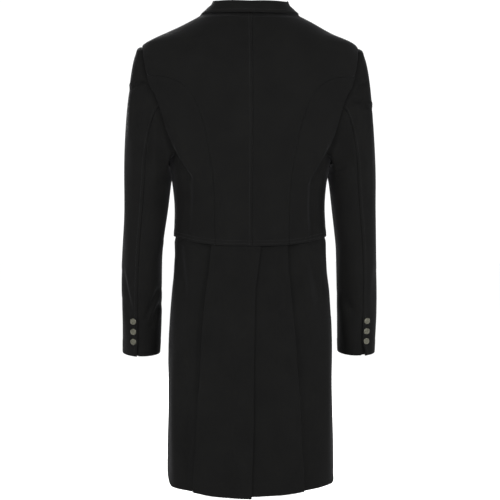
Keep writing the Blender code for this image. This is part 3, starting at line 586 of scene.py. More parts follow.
def fill(low, high, left, right, size):
    """A grid of pairs between four edges, with close steps next to each edge."""
    u, v = graded(size[0]), graded(size[1])
    return between(take(low, u), take(high, u), take(left, v), take(right, v), u, v)


def fill_across(low, high, left, right, size):
    """The same between edges on the back, spread evenly across instead of round."""
    edges = [np.stack([plain_body(*e.T)[:, 0], e[:, 1]], 1) for e in (low, high, left, right)]
    even = np.linspace(0, 1, FLAT_STEPS + 1)
    grid = between(*(take(edge, even) for edge in edges), even, even)
    for _ in range(RELAX_ROUNDS):
        across = grid[1:-1, :-2] + grid[1:-1, 2:]
        grid[1:-1, 1:-1] = (across + grid[:-2, 1:-1] + grid[2:, 1:-1]) / 4
    rows = np.stack([take(row, graded(size[0])) for row in grid])
    grid = np.stack([take(rows[:, k], graded(size[1])) for k in range(rows.shape[1])], 1)
    return np.stack([around_of(grid[..., 0], grid[..., 1]), grid[..., 1]], -1)


def fold_height(points, facing, folds):
    """Height of all uneven folds at points whose normals face along y by facing."""
    x, z = points[..., 0], points[..., 2]
    total = np.zeros(x.shape)
    t = np.linspace(0, 1, FOLD_POINTS)
    for face, *sizes, step in folds:
        *places, width, height = np.array(sizes) * MILLI
        places = np.array(places).reshape(3, 2)
        reach = FOLD_REACH * width
        least, most = places.min(axis=0) - reach, places.max(axis=0) + reach
        near = (least[0] < x) & (x < most[0]) & (least[1] < z) & (z < most[1])
        near &= facing * face > FOLD_FACING
        if not near.any():
            continue
        line = np.stack([(1 - t) ** 2, 2 * t * (1 - t), t**2], 1) @ places
        way = unit(np.gradient(line, axis=0))
        gap = np.stack([x[near], z[near]], 1)[:, None] - line[None]
        far = np.linalg.norm(gap, axis=2)
        k = far.argmin(axis=1)
        nearest = np.arange(len(k)), k
        off, along = gap[nearest], way[k]
        side = along[:, 0] * off[:, 1] - along[:, 1] * off[:, 0]
        share = side / width
        beyond = np.maximum(far[nearest] ** 2 - side**2, 0) / width**2
        taper = np.sin(np.pi * np.clip(t[k], 0.001, 0.999)) ** FOLD_TAPER
        ridge = np.exp(-(share**2)) * (1 - step)
        slope = STEP_HEIGHT * share * np.exp(-(share**2) * STEP_FALL) * step
        face_on = ease((facing[near] * face - FOLD_FACING) / FOLD_TURN)
        total[near] += height * taper * np.exp(-beyond) * face_on * (ridge + slope)
    return total


def ripple(points):
    """Low uneven waves that run mostly downwards."""
    total = np.zeros(points.shape[:-1])
    for i, (kx, ky, kz, phase) in enumerate(RIPPLES):
        turn = 1 if i % 2 else -1
        total = total + RIPPLE_HEIGHT * np.sin(points @ np.array([kx * turn, ky, kz]) + phase)
    return total


def edge_gaps(points):
    """Distance of every grid point from its left, right, low and high edges."""
    found = {}
    for axis, near, far in ((1, "left", "right"), (0, "low", "high")):
        steps = np.linalg.norm(np.diff(np.moveaxis(points, axis, 0), axis=0), axis=-1)
        run = np.concatenate([0 * steps[:1], np.cumsum(steps, axis=0)])
        found[near], found[far] = np.moveaxis(run, 0, axis), np.moveaxis(run[-1:] - run, 0, axis)
    return found


def edge_height(gaps, styles):
    """Seam dips, ridges and stitch grooves next to the four edges."""
    total = np.zeros(gaps["left"].shape)
    for edge, style in styles.items():
        d = gaps[edge]
        dip, reach, ridge, wide, rows = EDGE_STYLES[style]
        if dip:
            total = total - dip * gone(d, reach)
        if ridge:
            inside = 1 - ease((d - wide) / RIDGE_FALL)
            total = total + ridge * inside * (1 - gone(d, RIDGE_START))
        for at in rows:
            total = total - GROOVE_DEPTH * gone(d - at, GROOVE_REACH)
    return total


def add_mesh(name, vertices, faces, material, uv=None):
    """A mesh object with smooth faces and, where given, cloth coordinates in metres."""
    mesh = bpy.data.meshes.new(name)
    mesh.from_pydata(np.asarray(vertices).tolist(), [], faces)
    if uv is not None:
        layer = mesh.uv_layers.new(name="cloth")
        corner = np.zeros(len(mesh.loops), np.int32)
        mesh.loops.foreach_get("vertex_index", corner)
        layer.data.foreach_set("uv", np.asarray(uv, np.float32)[corner].ravel())
    mesh.shade_smooth()
    mesh.materials.append(material)
    thing = bpy.data.objects.new(name, mesh)
    bpy.context.scene.collection.objects.link(thing)
    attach(thing, "root")
    return thing


def tube_faces(rings, sides):
    """Faces of a tube of rings with closed ends."""
    last = (rings - 1) * sides
    faces = [
        (i + j, i + (j + 1) % sides, i + sides + (j + 1) % sides, i + sides + j)
        for i in range(0, last, sides) for j in range(sides)
    ]
    return faces + [tuple(range(sides))[::-1], tuple(range(last, last + sides))]


def face_out(thing):
    """Turns all faces of a closed mesh outward."""
    work = bmesh.new()
    work.from_mesh(thing.data)
    bmesh.ops.recalc_face_normals(work, faces=work.faces)
    work.to_mesh(thing.data)
    work.free()


def outward(points, like):
    """Normals of a grid of points, on the same side as the given ones."""
    n = unit(np.cross(np.gradient(points, axis=1), np.gradient(points, axis=0)), 1e-12)
    return n * np.sign((n * like).sum(axis=-1, keepdims=True))


def shell(name, outer, n, grain):
    """A thin cloth shell from its outer points; grain gives their places on the cloth."""
    inner = outer - n * WALL
    for edge in ((0, slice(None)), (-1, slice(None)), (slice(None), 0), (slice(None), -1)):
        outer[edge] -= n[edge] * WALL * RIM_ROUND
        inner[edge] += n[edge] * WALL * RIM_ROUND
    count = outer.shape[0] * outer.shape[1]
    index = np.arange(count).reshape(outer.shape[:2])
    corners = index[:-1, :-1], index[:-1, 1:], index[1:, 1:], index[1:, :-1]
    front = np.stack(corners, -1).reshape(-1, 4)
    way = np.cross(outer[1, 0] - outer[0, 0], outer[0, 1] - outer[0, 0])
    if np.dot(way, n[0, 0]) > 0:
        front = front[:, ::-1]
    rim = np.concatenate([index[0, :], index[1:, -1], index[-1, -2::-1], index[-2:0:-1, 0]])
    follow = np.roll(rim, -1)
    side = np.stack([follow, rim, rim + count, follow + count], 1)
    faces = np.concatenate([front, front[:, ::-1] + count, side]).tolist()
    vertices = np.concatenate([outer.reshape(-1, 3), inner.reshape(-1, 3)])
    made = add_mesh(name, vertices, faces, CLOTH_LOOK, np.tile(grain.reshape(-1, 2), (2, 1)))
    face_out(made)
    return made


def extended(points, n, grain, edge, steps):
    """Adds the strip of cloth that goes on beyond one edge."""
    axis, way = EDGE_AXES[edge]
    p, m, g = (np.moveaxis(v, axis, 0)[::way] for v in (points, n, grain))
    out = p[0] - p[INNER_ROW]
    out = unit(out - (out * m[0]).sum(axis=-1, keepdims=True) * m[0])
    on = unit(g[0] - g[INNER_ROW], 1e-9)
    more = [
        (
            p[0] + out * far - m[0] * drop,
            m[0] * math.cos(turn) + out * math.sin(turn),
            g[0] + on * (far + drop),
        )
        for far, drop, turn in steps[::-1]
    ]
    return [
        np.moveaxis(np.concatenate([np.array(extra), old])[::way], 0, axis)
        for extra, old in zip(zip(*more), (p, m, g))
    ]


def true_side(points, mark):
    """Points of the wearer's left half, mirrored for the right half."""
    return points * np.array([-1.0, 1.0, 1.0]) if mark == "r" else points


def pull_in(points, axes):
    """Moves the outermost points in by half the gap at a seam."""
    for axis in axes:
        p = np.moveaxis(points, axis, 0)
        for edge, inner in ((0, 1), (-1, -2)):
            p[edge] += unit(p[inner] - p[edge]) * GAP / 2


def declare(thing, name, points):
    """Hides the solid that a cloth piece replaces, and works out its cut (flat width, length and
    area) without keeping it.
    """
    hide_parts(name)
    rows = np.linalg.norm(np.diff(points, axis=1), axis=-1).sum(axis=1)
    lengths = np.linalg.norm(np.diff(points, axis=0), axis=-1).sum(axis=0)
    cross = np.cross(points[1:, 1:] - points[:-1, :-1], points[1:, :-1] - points[:-1, 1:])
    area = 0.5 * np.linalg.norm(cross, axis=-1).sum()
    flat = (float(rows.max()), float(lengths.max()))
    area = min(max(float(area), LEAST_FILL * flat[0] * flat[1]), flat[0] * flat[1])


def sew(name, points, like, gaps, grain, styles, beyond):
    """Makes a cloth piece from its shaped grid and keeps its stitched lines for the thread."""
    normal = outward(points, like)
    for edge, style in styles.items():
        for at in EDGE_STYLES[style][-1]:
            STITCHED.append(grid_line(points, normal, gaps, edge, at))
    whole = [points.copy(), normal, grain]
    for edge, steps in beyond.items():
        whole = extended(*whole, edge, steps)
    declare(shell(name, *whole), name, whole[0])
    return normal


def stitches(name, lines):
    """Thread stitches along lines of surface points with their normals, as one piece."""
    vertices = []
    angles = np.arange(THREAD_SIDES) * 2 * math.pi / THREAD_SIDES
    for points, n in lines:
        run = run_of(points)
        count = int(run[-1] / PITCH)
        if count < 1:
            continue
        at = (np.arange(count) + 0.5) * run[-1] / count
        ahead, behind = (read_line(points, run, at + d) for d in (STITCH_AHEAD, -STITCH_AHEAD))
        middle, along = read_line(points, run, at), unit(ahead - behind)
        normal = unit(read_line(n, run, at))
        across = np.cross(normal, along)
        block = [
            middle + along * share * STITCH + normal * THREAD * lift
            + (across * math.cos(a) + normal * math.sin(a)) * THREAD * fat
            for share, fat, lift in STITCH_RINGS for a in angles
        ]
        vertices.append(np.stack(block, 1).reshape(-1, 3))
    vertices = np.concatenate(vertices)
    one = tube_faces(len(STITCH_RINGS), THREAD_SIDES)
    starts = range(0, len(vertices), len(STITCH_RINGS) * THREAD_SIDES)
    faces = [tuple(start + k for k in face) for start in starts for face in one]
    add_mesh(name, vertices, faces, THREAD_LOOK)


def grid_line(points, n, gaps, edge, at):
    """The line of a grid that lies at a distance from one edge, and its normals."""
    axis = 1 if edge in ("left", "right") else 0
    d, p, m = (np.moveaxis(v, axis, 1) for v in (gaps[edge], points, n))
    found = []
    for values in (p, m):
        rows = zip(values, d, np.argsort(d, axis=1))
        found.append(np.array([read_line(row[k], run[k], [at])[0] for row, run, k in rows]))
    return found


def new_material(name, **values):
    """A material with values for its shader, given by input names with low dashes."""
    made = bpy.data.materials.new(name)
    made.use_nodes = True
    shader = made.node_tree.nodes["Principled BSDF"]
    for key, value in values.items():
        shader.inputs[key.replace("_", " ")].default_value = value
    return made, made.node_tree


def add_node(tree, kind, values, feeds, **settings):
    """A shader node with values and feeding outputs for its inputs."""
    made = tree.nodes.new("ShaderNode" + kind)
    for key, value in settings.items():
        setattr(made, key, value)
    for key, value in values.items():
        made.inputs[key].default_value = value
    for key, output in feeds.items():
        tree.links.new(output, made.inputs[key])
    return made


def noise(tree, place, scale, detail=2.0, roughness=0.5):
    values = {"Scale": scale, "Detail": detail, "Roughness": roughness}
    return add_node(tree, "TexNoise", values, {"Vector": place}).outputs["Fac"]


def wave(tree, place, direction, scale, distortion, detail=2.0):
    values = {"Scale": scale, "Distortion": distortion, "Detail": detail}
    made = add_node(tree, "TexWave", values, {"Vector": place}, bands_direction=direction)
    return made.outputs["Fac"]


def add_share(tree, main, more, share):
    """One value with a share of another added."""
    feeds = {0: more, 2: main}
    return add_node(tree, "Math", {1: share}, feeds, operation="MULTIPLY_ADD").outputs[0]


def ramp(tree, value, *stops):
    made = add_node(tree, "ValToRGB", {}, {"Fac": value})
    for element, (position, colour) in zip(made.color_ramp.elements, stops):
        element.position = position
        element.color = (*colour, 1.0)
    return made.outputs["Color"]


def remap(tree, value, low, high, start=0.0, end=1.0):
    values = {"From Min": start, "From Max": end, "To Min": low, "To Max": high}
    return add_node(tree, "MapRange", values, {"Value": value}).outputs["Result"]


def bump(tree, height, strength, distance, under=None):
    feeds = {"Height": height, "Normal": under} if under else {"Height": height}
    values = {"Strength": strength, "Distance": distance}
    return add_node(tree, "Bump", values, feeds).outputs["Normal"]


def finish(tree, colour, roughness, normal):
    shader = tree.nodes["Principled BSDF"]
    for key, output in (("Base Color", colour), ("Roughness", roughness), ("Normal", normal)):
        tree.links.new(output, shader.inputs[key])


def cloth_material():
    """Near-black closely woven cloth: fine twill, soft sheen, faint uneven tone."""
    made, tree = new_material(
        "show_cloth", Specular_IOR_Level=0.004, Sheen_Weight=0.034, Sheen_Roughness=0.42,
        Sheen_Tint=(0.50, 0.50, 0.53, 1.0),
    )
    place = tree.nodes.new("ShaderNodeTexCoord").outputs
    uv, solid = place["UV"], place["Object"]
    tone = noise(tree, solid, 16.0, 5.0, 0.62)
    slub = add_node(tree, "Mapping", {"Scale": (900.0, 70.0, 1.0)}, {"Vector": uv})
    yarn = noise(tree, slub.outputs["Vector"], 1.0, 3.0)
    both = add_share(tree, tone, yarn, 0.55)
    colour = ramp(tree, both, (0.45, (0.0021, 0.0021, 0.0021)), (1.0, (0.0029, 0.0029, 0.0028)))
    twill = wave(tree, uv, "DIAGONAL", 520.0, 0.6, 1.0)
    warp = wave(tree, uv, "X", 700.0, 0.4)
    weave = bump(tree, add_share(tree, twill, warp, 0.45), 0.35, 0.00012)
    grain = bump(tree, noise(tree, solid, 260.0, 4.0), 0.25, 0.0004, weave)
    finish(tree, colour, remap(tree, tone, 0.66, 0.82, 0.3, 0.7), grain)
    return made


def thread_material():
    """Twisted black sewing thread with a slight gloss."""
    made, tree = new_material("sewing_thread", Specular_IOR_Level=0.08, Sheen_Weight=0.02)
    place = tree.nodes.new("ShaderNodeTexCoord").outputs["Object"]
    twist = wave(tree, place, "DIAGONAL", 900.0, 1.0)
    colour = ramp(tree, twist, (0.0, (0.0028, 0.0028, 0.0030)), (1.0, (0.0060, 0.0060, 0.0064)))
    finish(tree, colour, remap(tree, twist, 0.42, 0.58), bump(tree, twist, 0.4, 0.0001))
    return made


def metal_material():
    """Dark satin metal with fine marks and a duller tone in places."""
    made, tree = new_material("gunmetal", Metallic=1.0)
    place = tree.nodes.new("ShaderNodeTexCoord").outputs["Object"]
    patina = noise(tree, place, 420.0, 6.0)
    colour = ramp(tree, patina, (0.3, (0.031, 0.030, 0.024)), (0.7, (0.062, 0.061, 0.049)))
    marks = bump(tree, noise(tree, place, 2600.0), 0.12, 0.00005)
    finish(tree, colour, remap(tree, patina, 0.30, 0.46), marks)
    return made


def body_piece(
    name, grid, mark, styles, beyond, lift=0.0, folds=BODY_FOLDS,
):
    """One cloth piece on the body surface; styles are of its left, right, low and high edge."""
    styles = dict(zip(EDGE_AXES, styles))
    around, z = grid[..., 0], grid[..., 1]
    plain, n = true_side(plain_body(around, z), mark), true_side(body_normal(around, z), mark)
    height = drape(around, z) + ripple(plain) + fold_height(plain, n[..., 1], folds) + lift
    gaps = edge_gaps(plain)
    height = height + edge_height(gaps, styles)
    points = plain + n * height[..., None]
    pull_in(points, (0, 1))
    grain = np.stack([around * BODY_GRAIN, z], -1)
    normal = sew(f"{name}_{mark}", points, n, gaps, grain, styles, beyond)
    return points, normal, gaps


def on_waist(around, drop=0.0):
    return around, float(read(WAIST, around)) - drop


def seams():
    """Seams of the wearer's left half, shared by both neighbours."""
    turn, corner = (placed([PRINCESS_HIGH[k]])[0] for k in (0, -1))
    tip, neck_point = (1.0, SHOULDER_TIP_Z), (1.0, NECK_POINT_Z)
    underarm = (SIDE_SEAM_AROUND, UNDERARM_Z)
    princess_foot = on_waist(placed(PRINCESS_LOW)[0][0])
    edge_foot = on_waist(placed(FRONT_EDGE, True)[0][0])
    side = [on_waist(SIDE_SEAM_AROUND), (SIDE_SEAM_AROUND, SIDE_MIDDLE_Z), underarm]
    front_edge = line_of(FRONT_EDGE, 4, front=True, start=edge_foot)
    return {
        "princess_low": line_of(PRINCESS_LOW, 11, start=princess_foot, end=turn),
        "princess_high": line_of(PRINCESS_HIGH, 6, start=turn, end=corner),
        "arm_top": line_of(ARMHOLE_TOP, 3, start=corner, end=tip),
        "arm_back": line_of(ARMHOLE_BACK, 7, start=corner, end=underarm),
        "arm_front": line_of(ARMHOLE_FRONT, 9, front=True, start=underarm, end=tip),
        "neck_back": spaced(NECK_BACK, 3 * FINE),
        "shoulder": spaced([tip, SHOULDER_BEND, neck_point], 7 * FINE),
        "side": spaced(side, 4 * FINE),
        "centre": spaced([on_waist(0.0), *CENTRE_LINE], 20 * FINE),
        "front_edge": front_edge,
        "roll": line_of(ROLL_LINE, 9, front=True, start=front_edge[-1], end=neck_point),
    }


def waist_line(start, end, count, drop=0.0):
    return spaced([on_waist(a, drop) for a in np.linspace(start, end, count + 1)], count * FINE)


def lap_lift(grid, mark, lap, gap):
    """The wearer's left side lies on the right one where they overlap."""
    x = plain_body(grid[..., 0], grid[..., 1])[..., 0]
    rise = ease((lap[0] - x) / lap[1]) * (CAD_WALL + gap) / 2
    return rise if mark == "l" else -rise


def front_lift(grid, mark):
    fade = np.clip((FRONT_LAP_TOP - grid[..., 1]) / FRONT_LAP_FADE, 0, 1)
    return lap_lift(grid, mark, FRONT_LAP, FRONT_GAP) * fade


def under_collar(grid):
    """The back lies a little lower under the collar's edge than below it."""
    around, z = grid[..., 0], grid[..., 1]
    band = ease((z - read(COLLAR, around, 1, 2) + SINK_START) / SINK_FADE)
    band = band * ease((read(NECK_BACK, around) - z) / SINK_TOP_FADE)
    return COLLAR_SINK * band * ease((SINK_SIDE - around) / SINK_SIDE_FADE)


def body_panels(line):
    """Back, side back and front of both halves."""
    princess, front_edge = line["princess_low"], line["front_edge"]
    back = fill_across(
        waist_line(0.0, princess[0, 0], 10),
        joined(line["neck_back"], line["shoulder"][::-1]),
        line["centre"],
        joined(princess, line["princess_high"], line["arm_top"]),
        SIZES["back"],
    )
    side_back = fill(
        waist_line(princess[0, 0], SIDE_SEAM_AROUND, 6),
        line["princess_high"],
        princess,
        joined(line["side"], line["arm_back"][::-1]),
        SIZES["side_back"],
    )
    front = fill(
        waist_line(SIDE_SEAM_AROUND, front_edge[0, 0], 7),
        line["shoulder"],
        joined(line["side"], line["arm_front"]),
        joined(front_edge, line["roll"]),
        SIZES["front"],
    )
    under = {"left": ALLOWANCE, "high": ALLOWANCE}
    for mark in ("l", "r"):
        centre = "topstitched" if mark == "l" else "seam"
        BACKS[mark] = body_piece(
            "back", back, mark,
            (centre, "ridge", "waist_over", "seam"),
            {"left": ALLOWANCE} if mark == "r" else {},
            lift=under_collar(back),
        )
        body_piece(
            "side_back", side_back, mark,
            ("seam", "armhole_over", "waist_over", "seam"),
            under,
        )
        body_piece(
            "front", front, mark,
            ("seam", "folded_stitched", "waist_over", "seam"),
            under, lift=front_lift(front, mark),
        )


def rows_between(rows, low, high, count):
    return [(float(read(rows, z, 1, 0)), z) for z in np.linspace(low, high, count)]


def lapels():
    """Turned-back lapels that lie on the fronts; the left front covers the right one's foot."""
    top = line_of(LAPEL_TOP, 4, front=True)
    for mark in ("l", "r"):
        foot = ROLL_LINE[0][1] + LAPEL_FOOT_RISE if mark == "l" else RIGHT_LAPEL_FOOT
        inner = rows_between(ROLL_LINE, foot, LAPEL_TOP[0][1], LAPEL_ROWS)
        if mark == "r":
            inner = [(max(x, RIGHT_LAPEL_TURN - x), z) for x, z in inner]
        outer = rows_between(LAPEL_EDGE, foot, LAPEL_TOP[-1][1], LAPEL_ROWS)
        inner = line_of(inner, 10, front=True, end=top[0])
        outer = line_of(outer, 10, front=True, end=top[-1])
        low = spaced([inner[0], (inner[0] + outer[0]) / 2, outer[0]], 4 * FINE)
        grid = fill(low, top, inner, outer, SIZES["lapel"])
        body_piece(
            "lapel", grid, mark,
            ("none", "folded_stitched", "none", "folded_stitched"),
            {"left": ROLL_OVER}, lift=front_lift(grid, mark) + CAD_WALL + LAPEL_GAP,
        )


def tail_grid(name, left, right, drop, count):
    """A grid of a tail from its two side lines, given from the waist to the hem."""
    sides = []
    for pairs in (list(left), list(right)):
        pairs[0] = on_waist(pairs[0][0], GAP)
        pairs[-1] = (pairs[-1][0], float(hem_z(pairs[-1][0])) - drop)
        sides.append(spaced(pairs[::-1], TAIL_STEPS * FINE))
    left, right = sides
    hem = [(a, float(hem_z(a)) - drop) for a in np.linspace(left[0, 0], right[0, 0], count + 1)]
    waist = waist_line(left[-1, 0], right[-1, 0], count, GAP)
    return fill(spaced(hem, count * FINE), waist, left, right, SIZES[name])


def pleat_lift(grid, rows):
    """The side tail dips behind the centre tail."""
    points = plain_body(grid[..., 0], grid[..., 1])
    edge = read(rows, points[..., 2], 1, 0)
    return -ease((edge + PLEAT_WIDTH - points[..., 0]) / PLEAT_WIDTH) * PLEAT_DEPTH


def tails():
    """Two centre tails that overlap at the vent, and two side tails under the pleats."""
    for mark, way in (("l", 1), ("r", -1)):
        drop = LEFT_TAIL_DROP if mark == "l" else 0.0
        pleat = [(x + way * float(read(PLEAT_SKEW, z)), z) for x, z in PLEAT_EDGE]
        vent = VENT_EDGE
        if mark == "r":
            shares = [VENT_TOP_SHARE] + [1.0] * (len(vent) - 1)
            vent = [(-x - VENT_UNDER * share, z) for share, (x, z) in zip(shares, vent)]
        grid = tail_grid("tail_centre", placed(vent), placed(pleat), drop, 8)
        body_piece(
            "tail_centre", grid, mark,
            ("pleated" if mark == "l" else "none", "pleated", "hem", "waist_under"),
            {"high": ALLOWANCE}, lift=lap_lift(grid, mark, VENT_LAP, LAP_GAP), folds=TAIL_FOLDS,
        )
        under = placed([(x - PLEAT_UNDER, z) for x, z in pleat])
        grid = tail_grid("tail_side", under, TAIL_FRONT, drop, 9)
        body_piece(
            "tail_side", grid, mark,
            ("none", "folded_stitched", "hem", "waist_under"),
            {"high": ALLOWANCE}, lift=pleat_lift(grid, pleat), folds=TAIL_FOLDS,
        )


def ring(z, angles):
    """A sleeve ring at height z; angle 0 is outward, 90 is back."""
    row = {name: column(SLEEVE, SLEEVE_COLUMNS, name, z) for name in SLEEVE_COLUMNS[1:]}
    turn = np.radians(angles)
    x = row["centre_x"] + row["half_width"] * rounded(np.cos(turn), 2 / SLEEVE_SQUARE)
    y = row["half_depth"] * rounded(np.sin(turn), 2 / SLEEVE_SQUARE)
    return np.stack([x, row["centre_y"] + y, z - row["tilt"] * y + 0 * x], -1)


def armhole(line):
    """Armhole points from the shoulder tip by the back and underarm, and shares from the tip."""
    loop = joined(line["arm_top"][::-1], line["arm_back"], line["arm_front"])[:-1]
    n = body_normal(*loop.T)
    points = plain_body(*loop.T) + n * drape(*loop.T)[:, None]
    low = LOW_SEAM * FINE
    run = run_of(np.concatenate([points, points[:1]]))
    rest = (run[:-1] - run[low]) / (run[-1] - run[low]) - 1
    return points, n, np.where(np.arange(len(loop)) <= low, run[:-1] / run[low], rest), low


def sleeve_grid(line):
    """Sleeve points: a cap from the armhole to the first ring, then rings."""
    start, n, share, low = armhole(line)
    arm = share * 180.0
    hind, fore = arm[HIND_SEAM * FINE], -arm[FORE_SEAM * FINE]
    back = np.interp(arm, [0.0, hind, 180.0], [0.0, SEAM_ANGLE_CUFF, 180.0])
    front = np.interp(-arm, [0.0, fore, 180.0], [0.0, -FORE_ANGLE_CUFF, 180.0])
    cuff = np.where(arm >= 0, back, -front)
    cuff[low] = 180.0
    top, foot = SLEEVE[0][0], SLEEVE[-1][0]
    first = ring(top, arm * (1 - CAP_CUFF_SHARE) + cuff * CAP_CUFF_SHARE)
    high = ((1 + np.cos(np.radians(arm))) / 2)[:, None]
    way = unit(np.array([1.0, 0.0, CAP_LEAN]) + CAP_SIDE * n * (1 - high))
    hole = unit(np.cross(np.roll(start, -1, 0) - np.roll(start, 1, 0), n))
    hole = hole * np.sign(((start.mean(axis=0) - start) * hole).sum(axis=1).mean())
    begin = start + way * GAP + hole * GAP
    leave = way * (CAP_LEAVE + CAP_LEAVE_TOP * high)
    arrive = np.array([0.0, 0.0, -1.0]) * (CAP_ARRIVE + CAP_ARRIVE_TOP * high)
    rows = [cubic(t, begin, leave, first, arrive) for t in graded(CAP_LENGTH, 1)]
    length = top - foot
    for share in 1 - graded(length, 1)[::-1][1:]:
        turn = min(1.0, CAP_CUFF_SHARE + (1 - CAP_CUFF_SHARE) * share * CUFF_SHARE_SPEED)
        rows.append(ring(top - share * length, arm * (1 - turn) + cuff * turn))
    return np.array(rows), n


def tube_normals(points):
    """Outward directions of a closed tube of points."""
    across = np.roll(points, -1, 1) - np.roll(points, 1, 1)
    n = unit(np.cross(across, np.gradient(points, axis=0)))
    centre = points.mean(axis=1, keepdims=True)
    return n * np.sign(((points - centre) * n).sum(axis=-1).mean())


def picked(values, at):
    """Columns of a closed grid at places between its columns."""
    low = np.floor(at).astype(int)
    share = (at - low)[None, :, None]
    count = values.shape[1]
    return values[:, low % count] * (1 - share) + values[:, (low + 1) % count] * share


def sleeve_part(name, points, n, at, mark, styles, beyond, vent, flap):
    """One of the two pieces of a sleeve, between the hind and the fore seam."""
    styles = dict(zip(EDGE_AXES, styles))
    part, way = true_side(picked(points, at), mark), true_side(unit(picked(n, at)), mark)
    z = part[..., 2]
    gaps = edge_gaps(part)
    height = ripple(part) * SLEEVE_RIPPLE + fold_height(part, way[..., 1], SLEEVE_FOLDS)
    inward = -way[..., 0] * (1 if mark == "l" else -1)
    height = height + SLEEVE_SWELL * ease(inward / SWELL_TURN) * gone(z - SWELL_Z, SWELL_REACH)
    height = height * ease(gaps["low"] / HEAD_FADE)
    head = ease((z - HEAD_Z) / HEAD_SPAN)
    height = height + HEAD_ROLL * head * gone(gaps["low"] - HEAD_ROLL_AT, HEAD_ROLL_REACH)
    height = height + edge_height(gaps, styles)
    open_low = ease((CUFF_VENT_TOP - z) / CUFF_VENT_FADE)
    height = height + flap * open_low * gone(gaps[vent], CUFF_VENT_REACH)
    made = part + way * height[..., None]
    if vent == "right":
        back = unit(made[:, NOTCH_SPAN] - made[:, -1])
        slide = ease((NOTCH_TOP - z) / NOTCH_FADE) * gone(gaps[vent], NOTCH_REACH)
        made = made + back[:, None] * (CUFF_NOTCH[mark] * slide)[..., None]
    pull_in(made, (1,))
    grain = np.stack([np.broadcast_to(at * SLEEVE_GRAIN, made.shape[:2]), made[..., 2]], -1)
    sew(f"{name}_{mark}", made, way, gaps, grain, styles, beyond)


def sleeves(line):
    """Upper and under sleeve of both arms."""
    points, edge_way = sleeve_grid(line)
    reach = np.linalg.norm(points - points[:1], axis=-1).mean(axis=1)
    weight = np.clip(1 - reach / CAP_NORMAL_REACH, 0, 1)[:, None, None] ** CAP_NORMAL_POWER
    n = unit(tube_normals(points) * (1 - weight) + edge_way[None] * weight)
    near = np.array(SLEEVE_EDGE_STEPS) / SLEEVE_GRAIN
    hind, fore = HIND_SEAM * FINE, FORE_SEAM * FINE
    clear = math.ceil(near[-1])
    under, upper = (
        np.concatenate([a + near, np.arange(a + clear + 1, b - clear), (b - near)[::-1]])
        for a, b in ((hind, fore), (fore, hind + points.shape[1]))
    )
    for mark in ("l", "r"):
        sleeve_part(
            "upper_sleeve", points, n, upper, mark,
            ("seam", "topstitched", "armhole_under", "hem"),
            {"low": ALLOWANCE}, "right", UPPER_FLAP,
        )
        sleeve_part(
            "under_sleeve", points, n, under, mark,
            ("seam", "seam", "armhole_under", "hem"),
            {"low": ALLOWANCE, "left": VENT_FLAP, "right": ALLOWANCE}, "left", UNDER_FLAP,
        )


def collar_section(w, neckline):
    """The collar's section at a share of the way from the centre back to the gorge."""
    row = {name: column(COLLAR, COLLAR_COLUMNS, name, w) for name in COLLAR_COLUMNS[1:]}
    clear = COLLAR_CLEAR + LAPEL_CLEAR * ease((w - LAPEL_START) / LAPEL_FADE)
    clear = clear + SIDE_CLEAR * gone(w - SIDE_PLACE, SIDE_REACH)
    ends = []
    for place, height in (
        (take(neckline, [w])[0], -CAD_WALL / 2),
        ((row["edge_around"], row["edge_z"]), CAD_WALL / 2 + clear),
    ):
        ends.append(plain_body(*place) + body_normal(*place) * (float(drape(*place)) + height))
    seam, edge = ends
    out, up = edge - seam, np.array([0.0, 0.0, 1.0])
    out[2] = 0
    out = unit(out)
    fold = seam - out * (row["lean"] - COLLAR_LEAN) + up * row["rise"]
    fold[0] += ROLL_PULL * gone(w - PULL_PLACE, PULL_REACH)
    path = np.array(COLLAR_SECTION) @ np.array([seam, fold, edge, out, up])
    run = run_of(path)
    at = collar_shares(run[-1]) * run[-1]
    section = np.stack([
        smooth(run, values, at) if np.all(np.diff(values) != 0) else np.interp(at, run, values)
        for values in path.T
    ], 1)
    for _ in range(COLLAR_ROUNDS):
        section[1:-1] = (section[:-2] + 2 * section[1:-1] + section[2:]) / 4
    return section, out


def collar(line):
    """Stand and fall in one folded piece, from gorge to gorge round the neck."""
    roll = line["roll"][::-1]
    keep = roll[roll[:, 1] > GORGE_Z + GORGE_CLEAR]
    gorge = placed(rows_between(ROLL_LINE, GORGE_Z, GORGE_Z, 1), True)
    neckline = spaced(np.concatenate([joined(line["neck_back"], keep), gorge]), NECK_STEPS)
    half = [collar_section(w, neckline) for w in np.linspace(0, 1, COLLAR_STATIONS)]
    half = [(true_side(c, "r"), true_side(o, "r")) for c, o in half[:0:-1]] + half
    points = np.array([c for c, _ in half])
    outs = np.array([o for _, o in half])[:, None]
    n = unit(np.cross(np.gradient(points, axis=0), np.gradient(points, axis=1)))
    n = n * np.sign((n[:, -1:] * (outs + np.array([0, 0, FACE_UP]))).sum(axis=-1, keepdims=True))
    points = points + n * (COLLAR_RIPPLE * ripple(points))[..., None]
    gaps = edge_gaps(points)
    styles = {edge: "folded_stitched" for edge in ("right", "low", "high")}
    points = points + n * edge_height(gaps, styles)[..., None]
    points = points + n * WALL / 2
    STITCHED.append(grid_line(points, n, gaps, "right", EDGE_STYLES["folded_stitched"][-1][0]))
    thing = shell("collar", points.copy(), n, np.stack([gaps["low"], gaps["left"]], -1))
    declare(thing, "collar", points)


def collar_shares(length):
    """Shares of the collar's width, close at its edge."""
    near = 1 - np.array(COLLAR_EDGE_STEPS)[::-1] / length
    return np.concatenate([np.linspace(0, near[0], COLLAR_STEPS)[:-1], near])


def neck_stitch():
    """The line of stitches under the collar that holds the inner neck facing."""
    for points, n, gaps in BACKS.values():
        line, ways = grid_line(points, n, gaps, "high", NECK_STITCH_AT)
        keep = np.abs(line[:, 0]) < NECK_STITCH_HALF
        STITCHED.append((line[keep], ways[keep]))


